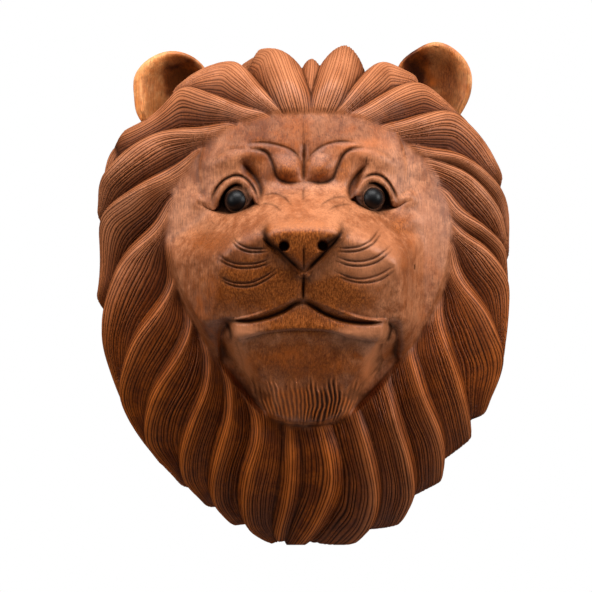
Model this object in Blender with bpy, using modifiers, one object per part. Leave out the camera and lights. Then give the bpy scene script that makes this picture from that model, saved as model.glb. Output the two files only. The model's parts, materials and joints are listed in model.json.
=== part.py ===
"""Carved wooden lion head that hangs on a wall, with two domed black eyes let into the wood.

Metres, +Z up. The flat back lies in the plane y = 0 and the face looks towards -Y.
The origin is on the flat back, level with the mouth.
"""

import math
from collections import namedtuple

import bmesh
import bpy
import numpy as np
from mathutils import Matrix, Vector

# Overall sizes of the carving
HEIGHT = 0.504
WIDTH = 0.411
DEPTH = 0.228

# Domed eyes and the round seats that hold them
EYE_DIAMETER = 0.0205
EYE_DOME = 0.0075
EYE_SHANK = 0.006
EYE_STEPS = 20
EYE_DOME_STEPS = 5
EYE_TURN_OUT = math.radians(20)
FIT_CLEARANCE = 0.0003

# Blind hole for the nail, in the flat back
NAIL_HOLE_DIAMETER = 0.011
NAIL_HOLE_DEPTH = 0.025
NAIL_HOLE_HEIGHT = 0.130

# The carver's pattern. All the carving is drawn on it in millimetres, from the origin,
# and the overall sizes above enlarge it.
PATTERN_WIDTH = 411.0
PATTERN_DEPTH = 228.0
PATTERN_HEIGHT = 504.0

# Middle of the face on the pattern, which the clock of radii below turns round
MIDDLE = (0.0, 38.0)
# Radii every 15 degrees, anticlockwise from the viewer's right
OUTLINE_RADII = (
    198, 204, 212, 209, 212, 204, 187, 196, 210, 209, 218, 204,
    199, 204, 213, 228, 246, 267, 281, 279, 252, 228, 216, 206,
)
FACE_RADII = (
    146, 153, 158, 158, 156, 153, 149, 151, 153, 150, 147, 140,
    131, 125, 122, 125, 134, 150, 158, 155, 143, 135, 135, 140,
)

# The mane is a dome that turns in behind its widest outline to meet the wall
RIM_DEPTH = 62.0
DOME_RISE = 60.0
DOME_EXTRA_RISE = 28.0
BACK_TURN_IN = math.radians(24)
FLAT_BOTTOM = -245.0
FACE_BLEND = 7.0

# Locks of the mane, which fan out at the top and sweep down at the sides
LOCKS = 27
STEPS_A_LOCK = 5
LOCK_RISE = 10.0
CROWN_LOCK_RISE = 8.0
LOCK_RISE_AT_WALL = 0.5
LOCK_SWEEP = 0.72
LOCK_SWEEP_MORE_ABOVE = 0.22
LOCK_SWEEP_POWER = 1.1
LOCK_ROUNDNESS = 1.6
LOCK_ROOT_FADE = 0.18
LOCK_FADES_AT_WALL = (0.8, 1.0)
CROWN_NARROWNESS = 10

# Rings of the carved surface, front and side first, then across the flat back
FRONT_RINGS = 29
BACK_RINGS = 2
FACE_RINGS_CLOSER = 0.4

# The masses of the face. Places are (across, up), bases, rises and depths are out of the wall,
# and a flank is how steeply a side falls.
Mound = namedtuple("Mound", "middle half base rise power", defaults=(2.0,))
Ridge = namedtuple("Ridge", "low high half_low half_high flank ceiling roundness")
Dent = namedtuple("Dent", "middle half deep")
SKULL = Mound(middle=(6.5, 55.0), half=(150.0, 200.0), base=58.0, rise=88.0)
BROW = Mound(middle=(0.0, 134.0), half=(86.0, 48.0), base=108.0, rise=38.0)
MUZZLE = Mound(middle=(3.0, 14.0), half=(97.0, 80.0), base=112.0, rise=102.0, power=3.0)
BRIDGE = Ridge(
    low=(0.0, 74.0, 206.0), high=(0.0, 108.0, 146.0),
    half_low=24.0, half_high=24.0, flank=1.5, ceiling=207.0, roundness=14.0,
)
NOSE = Ridge(
    low=(0.0, 27.0, 216.0), high=(0.0, 62.0, 227.0),
    half_low=3.0, half_high=36.0, flank=3.5, ceiling=227.0, roundness=8.0,
)
JAW = Ridge(
    low=(5.0, -90.0, 160.0), high=(4.0, -36.0, 202.0),
    half_low=34.0, half_high=70.0, flank=2.6, ceiling=203.0, roundness=6.0,
)
NOSE_TOP_FALL = 2.2
NOSE_TOP = 70.0
NOSE_FOOT_STEP = (24.0, 8.0)
UNDER_CHIN_FALL = 1.1
LIP_DROP = 22.0
LIP_HALF_WIDTH = 78.0
LIP_BOW = 0.8
LIP_STEP = (2.0, -20.0)
LIP_UNDERCUT = 80.0
JAW_STEP = (0.0, 16.0)
FROWN = Dent(middle=(0.0, 150.0), half=(6.0, 30.0), deep=4.0)
FROWN_FOOT = Dent(middle=(0.0, 118.0), half=(30.0, 7.0), deep=5.0)

# How wide the rounded valleys are where the masses meet
BROW_BLEND = 20.0
BRIDGE_BLEND = 20.0
NOSE_BLEND = 6.0
MUZZLE_BLEND = 16.0
JAW_BLEND = 10.0
EYEBALL_BLEND = 10.0

# Eyes on the pattern, the balls round them and the hollows over their inner corners
LEFT_EYE = (-66.3, 98.0)
RIGHT_EYE = (69.4, 100.1)
EYE_LEVEL_DEPTH = 153.5
EYEBALL = Mound(middle=(3.0, 0.0), half=(31.0, 25.0), base=130.0, rise=23.0)
EYE_HOLLOW = Dent(middle=(-16.0, 24.0), half=(15.0, 15.0), deep=12.0)

# Cupped ears
LEFT_EAR = (-131.0, 204.0)
RIGHT_EAR = (134.0, 212.0)
EAR_DEPTH = 62.0
EAR_HALF_WIDTH = 38.0
EAR_HALF_HEIGHT = 46.0
EAR_CUP = 20.0
EAR_CUP_POWER = 2.5
EAR_RIM_ROLL = 5.0
EAR_RIM_ROLL_POWER = 4
EAR_WALL = 13.0
EAR_WALL_POWER = 6
EAR_BACK_SWELL = 16.0
EAR_LEAN = math.radians(16)
EAR_TURN_IN = math.radians(12)
EAR_STEPS = 20
EAR_RINGS = 14

# Colours of the plain materials
WOOD_COLOUR = (0.34, 0.15, 0.07)
WOOD_ROUGHNESS = 0.5
EYE_COLOUR = (0.012, 0.011, 0.010)
EYE_ROUGHNESS = 0.08

# Points closer than this, in metres, are one point on a turned piece's axis
AXIS_MERGE = 0.00005


def clear_scene():
    for obj in list(bpy.data.objects):
        bpy.data.objects.remove(obj, do_unlink=True)


def collection(name):
    made = bpy.data.collections.new(name)
    bpy.context.scene.collection.children.link(made)
    return made


def material(name, colour, roughness, metallic=0.0):
    made = bpy.data.materials.new(name)
    made.use_nodes = True
    shader = made.node_tree.nodes["Principled BSDF"]
    shader.inputs["Base Color"].default_value = (*colour, 1.0)
    shader.inputs["Roughness"].default_value = roughness
    shader.inputs["Metallic"].default_value = metallic
    return made


def to_world(across, depth, up):
    """Pattern millimetres to metres, enlarged to the overall sizes."""
    return np.stack(
        [
            across * WIDTH / PATTERN_WIDTH,
            -depth * DEPTH / PATTERN_DEPTH,
            up * HEIGHT / PATTERN_HEIGHT,
        ],
        axis=-1,
    )


def around_clock(radii, turn):
    """The radius at each turn in radians: a smooth closed curve through evenly spaced radii."""
    values = np.asarray(radii, dtype=float)
    place = turn / math.tau * len(values)
    before = np.floor(place).astype(int)
    share = place - before
    a, b, c, d = (values[(before + step) % len(values)] for step in (-1, 0, 1, 2))
    return b + share / 2 * (c - a + share * (2 * a - 5 * b + 4 * c - d + share * (3 * (b - c) + d - a)))


def smooth_step(low, high, value):
    share = np.clip((value - low) / (high - low), 0.0, 1.0)
    return share * share * (3 - 2 * share)


def soft_max(one, other, blend):
    """The higher of two surfaces, with a rounded valley where they meet."""
    near = np.maximum(blend - np.abs(one - other), 0.0) / blend
    return np.maximum(one, other) + near * near * blend / 4


def soft_min(one, other, blend):
    """The lower of two surfaces, with a rounded edge where they meet."""
    return -soft_max(-one, -other, blend)


def mound(x, z, shape, shift=(0.0, 0.0)):
    """Depth of a rounded mound, falling away outside its half sizes."""
    across = np.abs((x - shape.middle[0] - shift[0]) / shape.half[0]) ** shape.power
    up = np.abs((z - shape.middle[1] - shift[1]) / shape.half[1]) ** shape.power
    out = across + up
    return shape.base + shape.rise * np.where(out < 1, np.sqrt(np.maximum(1 - out, 0.0)), 1 - out)


def ridge(x, z, shape):
    """Depth of a ridge from its low end to its high end, with falling flanks and a level top."""
    along = np.maximum((z - shape.low[1]) / (shape.high[1] - shape.low[1]), 0.0)
    centre = shape.low[0] + along * (shape.high[0] - shape.low[0])
    half = np.interp(along, (0, 1), (shape.half_low, shape.half_high))
    top = shape.low[2] + along * (shape.high[2] - shape.low[2])
    aside = np.maximum(np.abs(x - centre) - half, 0.0)
    return soft_min(top - shape.flank * aside, shape.ceiling, shape.roundness)


def dent(x, z, shape):
    """How deep a smooth hollow is at each place."""
    across = (x - shape.middle[0]) / shape.half[0]
    up = (z - shape.middle[1]) / shape.half[1]
    return shape.deep * np.exp(-(across**2) - up**2)


def mouth_height(x):
    """Height of the line between the lips at each place across."""
    return -LIP_DROP * smooth_step(0, LIP_HALF_WIDTH, np.abs(x)) ** LIP_BOW


def skull_depth(x, z):
    """Skull and brow, with each eyeball swelling out below the hollow at its inner corner."""
    skull = soft_max(mound(x, z, SKULL), mound(x, z, BROW), BROW_BLEND)
    for eye_at in (LEFT_EYE, RIGHT_EYE):
        side = math.copysign(1, eye_at[0])
        over, up = EYE_HOLLOW.middle
        hollow = EYE_HOLLOW._replace(middle=(eye_at[0] + over * side, eye_at[1] + up))
        ball = EYEBALL._replace(middle=(EYEBALL.middle[0] * side, EYEBALL.middle[1]))
        skull = soft_max(skull - dent(x, z, hollow), mound(x, z, ball, eye_at), EYEBALL_BLEND)
    return skull - dent(x, z, FROWN) - dent(x, z, FROWN_FOOT)


def face_depth(x, z):
    """Depth of the whole face: the muzzle and its nose stand on the skull, over the jaw."""
    over_mouth = z - mouth_height(x)
    muzzle = soft_max(mound(x, z, MUZZLE), ridge(x, z, BRIDGE), BRIDGE_BLEND)
    muzzle = muzzle - LIP_UNDERCUT * smooth_step(*LIP_STEP, over_mouth)
    nose = ridge(x, z, NOSE) - NOSE_TOP_FALL * np.maximum(z - NOSE_TOP, 0.0)
    nose = nose - LIP_UNDERCUT * smooth_step(*NOSE_FOOT_STEP, z)
    muzzle = soft_max(muzzle, nose, NOSE_BLEND)
    jaw = ridge(x, z, JAW) - UNDER_CHIN_FALL * np.maximum(JAW.low[1] - z, 0.0)
    jaw = jaw - LIP_UNDERCUT * smooth_step(*JAW_STEP, over_mouth)
    return soft_max(soft_max(skull_depth(x, z), muzzle, MUZZLE_BLEND), jaw, JAW_BLEND)


def lock_height(turn, swept, hair):
    """How far a lock stands out of the dome, by the turn of its root and the way along it."""
    place = turn / math.tau * LOCKS % 1
    rounded = 1 - np.abs(2 * place - 1) ** LOCK_ROUNDNESS
    crown = np.maximum(np.sin(swept), 0.0) ** CROWN_NARROWNESS
    rising = smooth_step(0.0, LOCK_ROOT_FADE, hair)
    falling = 1 - (1 - LOCK_RISE_AT_WALL) * smooth_step(*LOCK_FADES_AT_WALL, hair)
    return (LOCK_RISE + CROWN_LOCK_RISE * crown) * rounded * rising * falling


def carved_surface(turn, share):
    """World places of the carving, by the turn of each lock's root and the share of the way out.

    The share runs from 0 in the middle of the face to 1 on the edge of the flat back.
    """
    last = math.pi / 2 + BACK_TURN_IN
    bend = last * share * (1 - FACE_RINGS_CLOSER * (1 - share))
    face_edge = around_clock(FACE_RADII, turn)
    hair_start = np.arcsin(face_edge / around_clock(OUTLINE_RADII, turn))
    hair = np.clip((bend - hair_start) / (last - hair_start), 0.0, 1.0)
    sweep = LOCK_SWEEP + LOCK_SWEEP_MORE_ABOVE * np.sin(turn)
    swept = turn - sweep * np.cos(turn) * hair**LOCK_SWEEP_POWER
    outline = around_clock(OUTLINE_RADII, swept)
    rise = DOME_RISE + DOME_EXTRA_RISE * np.sin(swept) ** 2
    rise = np.where(bend > math.pi / 2, RIM_DEPTH / math.sin(BACK_TURN_IN), rise)
    outwards = np.sin(bend) / outline
    forwards = np.cos(bend) / rise
    height = lock_height(turn, swept, hair) / np.hypot(outwards, forwards)
    radius = outline * np.sin(bend) + height * outwards
    x = MIDDLE[0] + radius * np.cos(swept)
    z = MIDDLE[1] + radius * np.sin(swept)
    dome = np.maximum(RIM_DEPTH + rise * np.cos(bend) + height * forwards, 0.0)
    inside = smooth_step(FACE_BLEND, -FACE_BLEND, np.hypot(x - MIDDLE[0], z - MIDDLE[1]) - face_edge)
    depth = dome + (face_depth(x, z) - dome) * inside
    return to_world(x, depth, np.maximum(z, FLAT_BOTTOM))


def carve_head(home, finish):
    """The carved wood: a ball with its poles front and back, drawn out to the carving."""
    rings = FRONT_RINGS + BACK_RINGS
    bm = bmesh.new()
    bmesh.ops.create_uvsphere(bm, u_segments=LOCKS * STEPS_A_LOCK, v_segments=rings, radius=1.0)
    bmesh.ops.rotate(bm, verts=bm.verts, matrix=Matrix.Rotation(math.pi / 2, 3, "X"))
    mesh = bpy.data.meshes.new("lion_head")
    bm.to_mesh(mesh)
    bm.free()
    points = np.empty(len(mesh.vertices) * 3)
    mesh.vertices.foreach_get("co", points)
    points = points.reshape(-1, 3)
    turn = np.arctan2(points[:, 2], points[:, 0])
    ring = np.arccos(np.clip(-points[:, 1], -1, 1)) / math.pi * rings
    share = np.clip(ring / FRONT_RINGS, 0, 1)
    world = carved_surface(turn, share)
    inward = np.clip((rings - ring) / BACK_RINGS, 0, 1)[:, None]
    centre = to_world(np.float64(MIDDLE[0]), np.float64(0), np.float64(MIDDLE[1]))
    world = centre + (world - centre) * inward
    mesh.vertices.foreach_set("co", world.ravel())
    mesh.shade_smooth()
    mesh.materials.append(finish)
    head = bpy.data.objects.new("lion_head", mesh)
    home.objects.link(head)
    return head


def ear(name, place, home):
    """A cupped ear: a ball whose front is pressed in, leaning out and turned in a little."""
    side = math.copysign(1, place[0])
    bm = bmesh.new()
    bmesh.ops.create_uvsphere(bm, u_segments=EAR_STEPS, v_segments=EAR_RINGS, radius=1.0)
    bmesh.ops.rotate(bm, verts=bm.verts, matrix=Matrix.Rotation(math.pi / 2, 3, "X"))
    for vert in bm.verts:
        out = min(math.hypot(vert.co.x, vert.co.z), 1.0)
        if vert.co.y < 0:
            roll = EAR_RIM_ROLL * math.sin(math.pi * out**EAR_RIM_ROLL_POWER)
            vert.co.y = EAR_CUP * (1 - out**EAR_CUP_POWER) - roll
        else:
            vert.co.y = EAR_WALL * (1 - out**EAR_WALL_POWER) + EAR_BACK_SWELL * vert.co.y
        vert.co.x *= EAR_HALF_WIDTH
        vert.co.z *= EAR_HALF_HEIGHT
    turn = Matrix.Rotation(EAR_LEAN * side, 3, "Y") @ Matrix.Rotation(-EAR_TURN_IN * side, 3, "Z")
    bmesh.ops.rotate(bm, verts=bm.verts, matrix=turn)
    for vert in bm.verts:
        x, y, z = vert.co
        vert.co = to_world(place[0] + x, EAR_DEPTH - y, place[1] + z)
    mesh = bpy.data.meshes.new(name)
    bm.to_mesh(mesh)
    bm.free()
    made = bpy.data.objects.new(name, mesh)
    home.objects.link(made)
    return made


def eye_frame(place):
    """Where an eye's dome starts, with its +Z looking out of the head and turned outwards."""
    side = math.copysign(1, place[0])
    at = to_world(np.float64(place[0]), np.float64(EYE_LEVEL_DEPTH), np.float64(place[1]))
    look = Vector((math.sin(EYE_TURN_OUT) * side, -math.cos(EYE_TURN_OUT), 0.0))
    return Matrix.Translation(Vector(at)) @ look.to_track_quat("Z", "Y").to_matrix().to_4x4()


def eye(name, place, home, finish):
    """A turned button: a low dome on a short round shank."""
    radius = EYE_DIAMETER / 2
    sphere = (radius**2 + EYE_DOME**2) / (2 * EYE_DOME)
    half_angle = math.asin(radius / sphere)
    bm = bmesh.new()
    profile = []
    for step in range(EYE_DOME_STEPS + 1):
        angle = half_angle * step / EYE_DOME_STEPS
        height = sphere * math.cos(angle) - (sphere - EYE_DOME)
        profile.append((sphere * math.sin(angle), 0.0, height))
    profile += [(radius, 0.0, -EYE_SHANK), (0.0, 0.0, -EYE_SHANK)]
    verts = [bm.verts.new(point) for point in profile]
    for one, other in zip(verts, verts[1:]):
        bm.edges.new((one, other))
    mesh = bpy.data.meshes.new(name)
    bm.to_mesh(mesh)
    bm.free()
    mesh.materials.append(finish)
    made = bpy.data.objects.new(name, mesh)
    home.objects.link(made)
    screw = made.modifiers.new("turn", "SCREW")
    screw.steps = EYE_STEPS
    screw.render_steps = EYE_STEPS
    screw.use_merge_vertices = True
    screw.merge_threshold = AXIS_MERGE
    screw.use_smooth_shade = True
    made.matrix_world = eye_frame(place)
    return made


def round_cutter(name, radius, low, high, frame, home):
    """A round cutter about the frame's Z, from low to high along it."""
    bm = bmesh.new()
    bmesh.ops.create_cone(
        bm,
        cap_ends=True,
        segments=EYE_STEPS,
        radius1=radius,
        radius2=radius,
        depth=high - low,
        matrix=Matrix.Translation((0, 0, (low + high) / 2)),
    )
    mesh = bpy.data.meshes.new(name)
    bm.to_mesh(mesh)
    bm.free()
    made = bpy.data.objects.new(name, mesh)
    home.objects.link(made)
    made.matrix_world = frame
    made.hide_render = True
    made.display_type = "WIRE"
    return made


def add_boolean(target, tool, operation):
    step = target.modifiers.new(f"{operation.lower()} {tool.name}", "BOOLEAN")
    step.operation = operation
    step.solver = "EXACT"
    step.object = tool


def build():
    clear_scene()
    plaque = collection("lion_head_wall_plaque")
    tools = collection("cutters")
    wood = material("carved_wood", WOOD_COLOUR, WOOD_ROUGHNESS)
    black = material("eye_gloss", EYE_COLOUR, EYE_ROUGHNESS)
    head = carve_head(plaque, wood)
    for name, place in (("left_ear", LEFT_EAR), ("right_ear", RIGHT_EAR)):
        made = ear(name, place, tools)
        made.hide_render = True
        made.display_type = "WIRE"
        add_boolean(head, made, "UNION")
    seat_radius = EYE_DIAMETER / 2 + FIT_CLEARANCE
    for name, place in (("left_eye", LEFT_EYE), ("right_eye", RIGHT_EYE)):
        eye(name, place, plaque, black)
        low = -EYE_SHANK - FIT_CLEARANCE
        seat = round_cutter(f"{name}_seat", seat_radius, low, 3 * EYE_DOME, eye_frame(place), tools)
        add_boolean(head, seat, "DIFFERENCE")
    into_back = Matrix.Translation((0, 0, NAIL_HOLE_HEIGHT)) @ Matrix.Rotation(math.pi / 2, 4, "X")
    nail_radius = NAIL_HOLE_DIAMETER / 2
    nail = round_cutter("nail_hole", nail_radius, -NAIL_HOLE_DEPTH, NAIL_HOLE_DEPTH, into_back, tools)
    add_boolean(head, nail, "DIFFERENCE")


build()
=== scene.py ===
# %% [markdown]
# # A carved lion head for the wall
#
# The real thing is one block of hardwood. The carver roughs out a dome, lets the face stand
# forward of it, cuts the mane into long overlapping locks, combs each lock with a small gouge,
# stains the wood so that the cuts stay dark, and rubs wax over the high places.
# This lesson follows the same order, and its colours also carry painted shade in the cuts and
# hollows and painted highlights on the high places. The frame comes first: the plain solids, in
# metres, which say how big the carving is and where its eyes sit. Nothing below moves them.

import json
import math
from collections import namedtuple

import bmesh
import bpy
import numpy as np
from mathutils import Matrix, Vector

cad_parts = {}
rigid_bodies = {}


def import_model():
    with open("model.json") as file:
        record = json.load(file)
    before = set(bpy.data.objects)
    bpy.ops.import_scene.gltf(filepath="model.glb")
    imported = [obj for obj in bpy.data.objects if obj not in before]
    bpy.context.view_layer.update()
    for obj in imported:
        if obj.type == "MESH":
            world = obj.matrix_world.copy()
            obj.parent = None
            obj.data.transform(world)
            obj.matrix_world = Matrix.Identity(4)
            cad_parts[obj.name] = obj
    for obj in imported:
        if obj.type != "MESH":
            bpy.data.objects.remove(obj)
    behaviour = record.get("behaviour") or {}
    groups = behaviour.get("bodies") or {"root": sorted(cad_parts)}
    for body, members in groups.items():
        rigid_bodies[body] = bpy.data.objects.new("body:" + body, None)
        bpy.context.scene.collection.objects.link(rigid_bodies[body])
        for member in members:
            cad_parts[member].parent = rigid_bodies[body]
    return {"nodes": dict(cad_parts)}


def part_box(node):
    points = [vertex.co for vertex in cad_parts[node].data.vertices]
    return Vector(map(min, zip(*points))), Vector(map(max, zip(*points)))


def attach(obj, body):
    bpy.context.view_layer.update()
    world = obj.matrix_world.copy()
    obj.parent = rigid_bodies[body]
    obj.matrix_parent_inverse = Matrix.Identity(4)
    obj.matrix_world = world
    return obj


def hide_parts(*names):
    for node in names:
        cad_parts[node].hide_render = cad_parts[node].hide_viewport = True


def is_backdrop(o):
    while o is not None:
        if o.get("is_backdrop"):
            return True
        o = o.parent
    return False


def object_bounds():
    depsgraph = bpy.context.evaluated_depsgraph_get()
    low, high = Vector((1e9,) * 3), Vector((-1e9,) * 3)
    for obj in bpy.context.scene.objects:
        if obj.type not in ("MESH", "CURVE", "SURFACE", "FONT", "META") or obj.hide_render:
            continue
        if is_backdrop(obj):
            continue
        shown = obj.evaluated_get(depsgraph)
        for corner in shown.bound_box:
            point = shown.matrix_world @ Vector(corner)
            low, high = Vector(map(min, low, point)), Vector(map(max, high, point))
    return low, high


for startup in list(bpy.data.objects):
    bpy.data.objects.remove(startup, do_unlink=True)
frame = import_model()
cad_low, cad_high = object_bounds()
print("frame:", sorted(frame["nodes"]), [round(1000 * side) for side in cad_high - cad_low], "mm")

# %% [markdown]
# ## The carver's pattern
#
# A carver draws the front view on paper at full size and lays it over the block. Here the
# photograph is that paper: one pixel is one millimetre, and PAPER_ZERO is the pixel that lies
# over the origin. Paths are written as places on the paper, because that is how they were
# drawn. Out of the wall, depth is counted in millimetres from the flat back.

# %% Paper and world
PAPER_ZERO = (303.0, 300.0)
MM = 0.001


def on_pattern(points):
    """Places on the paper, as millimetres across and up from the origin."""
    points = np.asarray(points, dtype=float)
    return np.stack([points[:, 0] - PAPER_ZERO[0], PAPER_ZERO[1] - points[:, 1]], axis=1)


# %% [markdown]
# A photograph shows near things larger than far ones. The camera stands far off, so the
# effect is small, but the nose is 0.2 m nearer to it than the wall is. Each point is
# therefore drawn in towards the camera's axis by its own depth, and then the finished
# carving lies exactly under the pattern when it is seen through the lens.

# %% Perspective of the pattern
CAMERA_DISTANCE = 6000.0
PAPER_DEPTH = 60.0
AXIS = (-7.0, 4.0)


def to_world(x, z, depth):
    """World places of pattern places, seen through the lens over the pattern."""
    nearer = (CAMERA_DISTANCE - depth) / (CAMERA_DISTANCE - PAPER_DEPTH)
    across = AXIS[0] + (x - AXIS[0]) * nearer
    up = AXIS[1] + (z - AXIS[1]) * nearer
    return np.stack([across, -depth, up], axis=-1) * MM


def from_world(points):
    """Pattern places (x, z, depth) of world places."""
    x, depth, z = points[:, 0] / MM, -points[:, 1] / MM, points[:, 2] / MM
    nearer = (CAMERA_DISTANCE - depth) / (CAMERA_DISTANCE - PAPER_DEPTH)
    return AXIS[0] + (x - AXIS[0]) / nearer, AXIS[1] + (z - AXIS[1]) / nearer, depth


# %% [markdown]
# ## Small tools
#
# Carving in code needs few tools: a smooth step, a way to let two rounded forms meet in a
# soft valley, a smooth curve through a few points, and the distance from each place to such
# a curve. A gouge stroke, an eyelid and a lock of hair are all the same idea: a curve, and
# a profile across it.

# %% Steps and blends
def smooth_step(low, high, value):
    share = np.clip((value - low) / (high - low), 0.0, 1.0)
    return share * share * (3 - 2 * share)


def soft_max(one, other, blend):
    """The higher of two surfaces, with a rounded valley where they meet."""
    near = np.maximum(blend - np.abs(one - other), 0.0) / blend
    return np.maximum(one, other) + near * near * blend / 4


def soft_min(one, other, blend):
    return -soft_max(-one, -other, blend)


# %% Curves and distances
CURVE_STEPS = 12


def curve_between(a, b, c, d, share):
    """A smooth curve from b to c, which comes from a and goes on to d."""
    bent = 2 * a - 5 * b + 4 * c - d + share * (3 * (b - c) + d - a)
    return b + share / 2 * (c - a + share * bent)


def smooth_path(points, spacing):
    """Evenly spaced places on a smooth curve through the given ones."""
    points = np.asarray(points, dtype=float)
    ends = np.vstack([2 * points[0] - points[1], points, 2 * points[-1] - points[-2]])
    share = np.linspace(0, 1, CURVE_STEPS, endpoint=False)[:, None]
    fine = [curve_between(*four, share) for four in zip(ends, ends[1:], ends[2:], ends[3:])]
    fine = np.vstack([*fine, points[-1:]])
    run = np.concatenate([[0], np.cumsum(np.linalg.norm(np.diff(fine, axis=0), axis=1))])
    even = np.linspace(0, run[-1], max(int(run[-1] / spacing), 3) + 1)
    return np.stack([np.interp(even, run, fine[:, i]) for i in (0, 1)], axis=1)


def nearest_on(path, points):
    """Signed distance of each point from a path, and its share of the way along."""
    nearest = np.full(len(points), np.inf)
    aside = np.zeros(len(points))
    along = np.zeros(len(points))
    for index, (start, end) in enumerate(zip(path[:-1], path[1:])):
        step = end - start
        gap = points - start
        share = np.clip(gap @ step / (step @ step), 0, 1)
        off = gap - share[:, None] * step
        distance = np.einsum("ij,ij->i", off, off)
        closer = distance < nearest
        nearest[closer] = distance[closer]
        side = step[0] * gap[closer, 1] - step[1] * gap[closer, 0]
        aside[closer] = np.copysign(np.sqrt(distance[closer]), side)
        along[closer] = index + share[closer]
    return aside, along / (len(path) - 1)


NEARNESS_FLOOR, NEARNESS_POWER = 9.0, 3


def beside(path, points):
    """Signed distance and share of the way along, smooth even on the inside of a bend."""
    step = np.gradient(path, axis=0)
    normals = np.stack([-step[:, 1], step[:, 0]], axis=1) / np.linalg.norm(step, axis=1)[:, None]
    aside, along, total = (np.zeros(len(points)) for _ in range(3))
    for place, normal, way in zip(path, normals, np.linspace(0, 1, len(path))):
        right, up = points[:, 0] - place[0], points[:, 1] - place[1]
        weight = (right * right + up * up + NEARNESS_FLOOR) ** -NEARNESS_POWER
        aside += weight * (right * normal[0] + up * normal[1])
        along += weight * way
        total += weight
    return aside / total, along / total


def close_to(path, points, reach):
    """Which points lie in the path's box, widened by a reach."""
    low, high = path.min(axis=0) - reach, path.max(axis=0) + reach
    return np.flatnonzero(((points > low) & (points < high)).all(axis=1))


def inside_of(outline, points):
    """Which points lie inside a closed outline."""
    found = np.zeros(len(points), dtype=bool)
    for (x1, z1), (x2, z2) in zip(outline, np.roll(outline, -1, axis=0)):
        crosses = (z1 > points[:, 1]) != (z2 > points[:, 1])
        over = (x2 - x1) * (points[:, 1] - z1) / (z2 - z1 if z2 != z1 else 1e-9) + x1
        found ^= crosses & (points[:, 0] < over)
    return found


# %% [markdown]
# Wood cut by hand is never quite even. A small table of random numbers, read smoothly,
# gives a gentle waviness that is the same on every run, because the table has a fixed seed.

# %% Waviness
WAVE_SEED, WAVE_CELLS, WAVE_START = 7, 64, (31.7, 17.3)
WAVES = np.random.default_rng(WAVE_SEED).random((WAVE_CELLS, WAVE_CELLS)) * 2 - 1


def read_between(table, rows, columns, down, across):
    """A table's value between four of its cells."""
    near, far = (
        table[row, columns[0]] * (1 - across) + table[row, columns[1]] * across for row in rows
    )
    return near * (1 - down) + far * down


def waviness(x, z, size):
    """Smooth random heights from -1 to 1, with lumps of a size in millimetres."""
    column, row = x / size + WAVE_START[0], z / size + WAVE_START[1]
    c0, r0 = np.floor(column).astype(int), np.floor(row).astype(int)
    across, down = smooth_step(0, 1, column - c0), smooth_step(0, 1, row - r0)
    columns, rows = ((first % WAVE_CELLS, (first + 1) % WAVE_CELLS) for first in (c0, r0))
    return read_between(WAVES, rows, columns, down, across)


# %% [markdown]
# ## The dome
#
# Before any hair is cut, the mane is a low dome that bulges out to its widest outline and
# turns in again behind it to meet the wall. Its outline and the edge of the face are read as
# radii round a clock, every 15 degrees, from the middle of the face. A sphere stretched by
# such radii is quicker to shape than a pushed and pulled mesh, and it has a natural
# direction at each place in which a lock can stand out.

# %% Clock radii of the mane and of the face
MIDDLE = (0.0, 38.0)
OUTLINE_RADII = (
    193, 200, 205, 202, 203, 202, 194, 198, 203, 197, 214, 199,
    190, 200, 209, 223, 237, 258, 276, 269, 246, 226, 213, 200,
)
FACE_RADII = (
    146, 153, 158, 158, 156, 153, 149, 151, 153, 150, 147, 140,
    131, 125, 122, 126, 136, 154, 163, 159, 146, 137, 137, 140,
)
RIM_DEPTH = 62.0
DOME_RISE = 60.0
DOME_EXTRA_RISE = 28.0
TURN_IN = math.radians(24)
FLAT_BOTTOM = -245.0
QUARTER = math.pi / 2


def around_clock(radii, turn):
    """The radius at each turn: a smooth closed curve through evenly spaced radii."""
    values = np.asarray(radii, dtype=float)
    place = turn / math.tau * len(values)
    before = np.floor(place).astype(int)
    four = (values[(before + step) % len(values)] for step in (-1, 0, 1, 2))
    return curve_between(*four, place - before)


def dome_rise(turn, behind):
    """How far the dome rises from its widest outline, before it and behind it."""
    in_front = DOME_RISE + DOME_EXTRA_RISE * np.sin(turn) ** 2
    return np.where(behind, RIM_DEPTH / math.sin(TURN_IN), in_front)


def dome(turn, bend, height):
    """Radius and depth of the dome, raised along its own outward direction by a height."""
    outline, rise = around_clock(OUTLINE_RADII, turn), dome_rise(turn, bend > QUARTER)
    outwards, forwards = np.sin(bend) / outline, np.cos(bend) / rise
    slope = np.hypot(outwards, forwards)
    radius = outline * np.sin(bend) + height * outwards / slope
    depth = RIM_DEPTH + rise * np.cos(bend) + height * forwards / slope
    return radius, depth


# %% [markdown]
# Locks must keep their width where the dome turns away from the eye, so they are laid out on
# the dome's skin and not on the front view. A table holds how far it is over the skin from
# the middle to each place, and the mane's pattern is drawn on that unrolled skin.

# %% Unroll the dome's skin
SKIN_TURNS = 360
SKIN_STEPS = 240
LAST_BEND = QUARTER + TURN_IN
JUST_INSIDE = 0.998


def unroll():
    """Two tables round the clock: length of skin by bend, and bend by share of the skin."""
    turn = np.linspace(0, math.tau, SKIN_TURNS, endpoint=False)[:, None]
    bend = np.linspace(0, LAST_BEND, SKIN_STEPS)[None, :]
    radius, depth = dome(turn + 0 * bend, bend + 0 * turn, 0.0)
    step = np.hypot(np.diff(radius, axis=1), np.diff(depth, axis=1))
    length = np.concatenate([np.zeros((SKIN_TURNS, 1)), np.cumsum(step, axis=1)], axis=1)
    shares = np.linspace(0, 1, SKIN_STEPS)
    bends = [np.interp(shares * row[-1], row, bend[0]) for row in length]
    return length, np.array(bends)


SKIN_LENGTH, SKIN_BEND = unroll()


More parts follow.
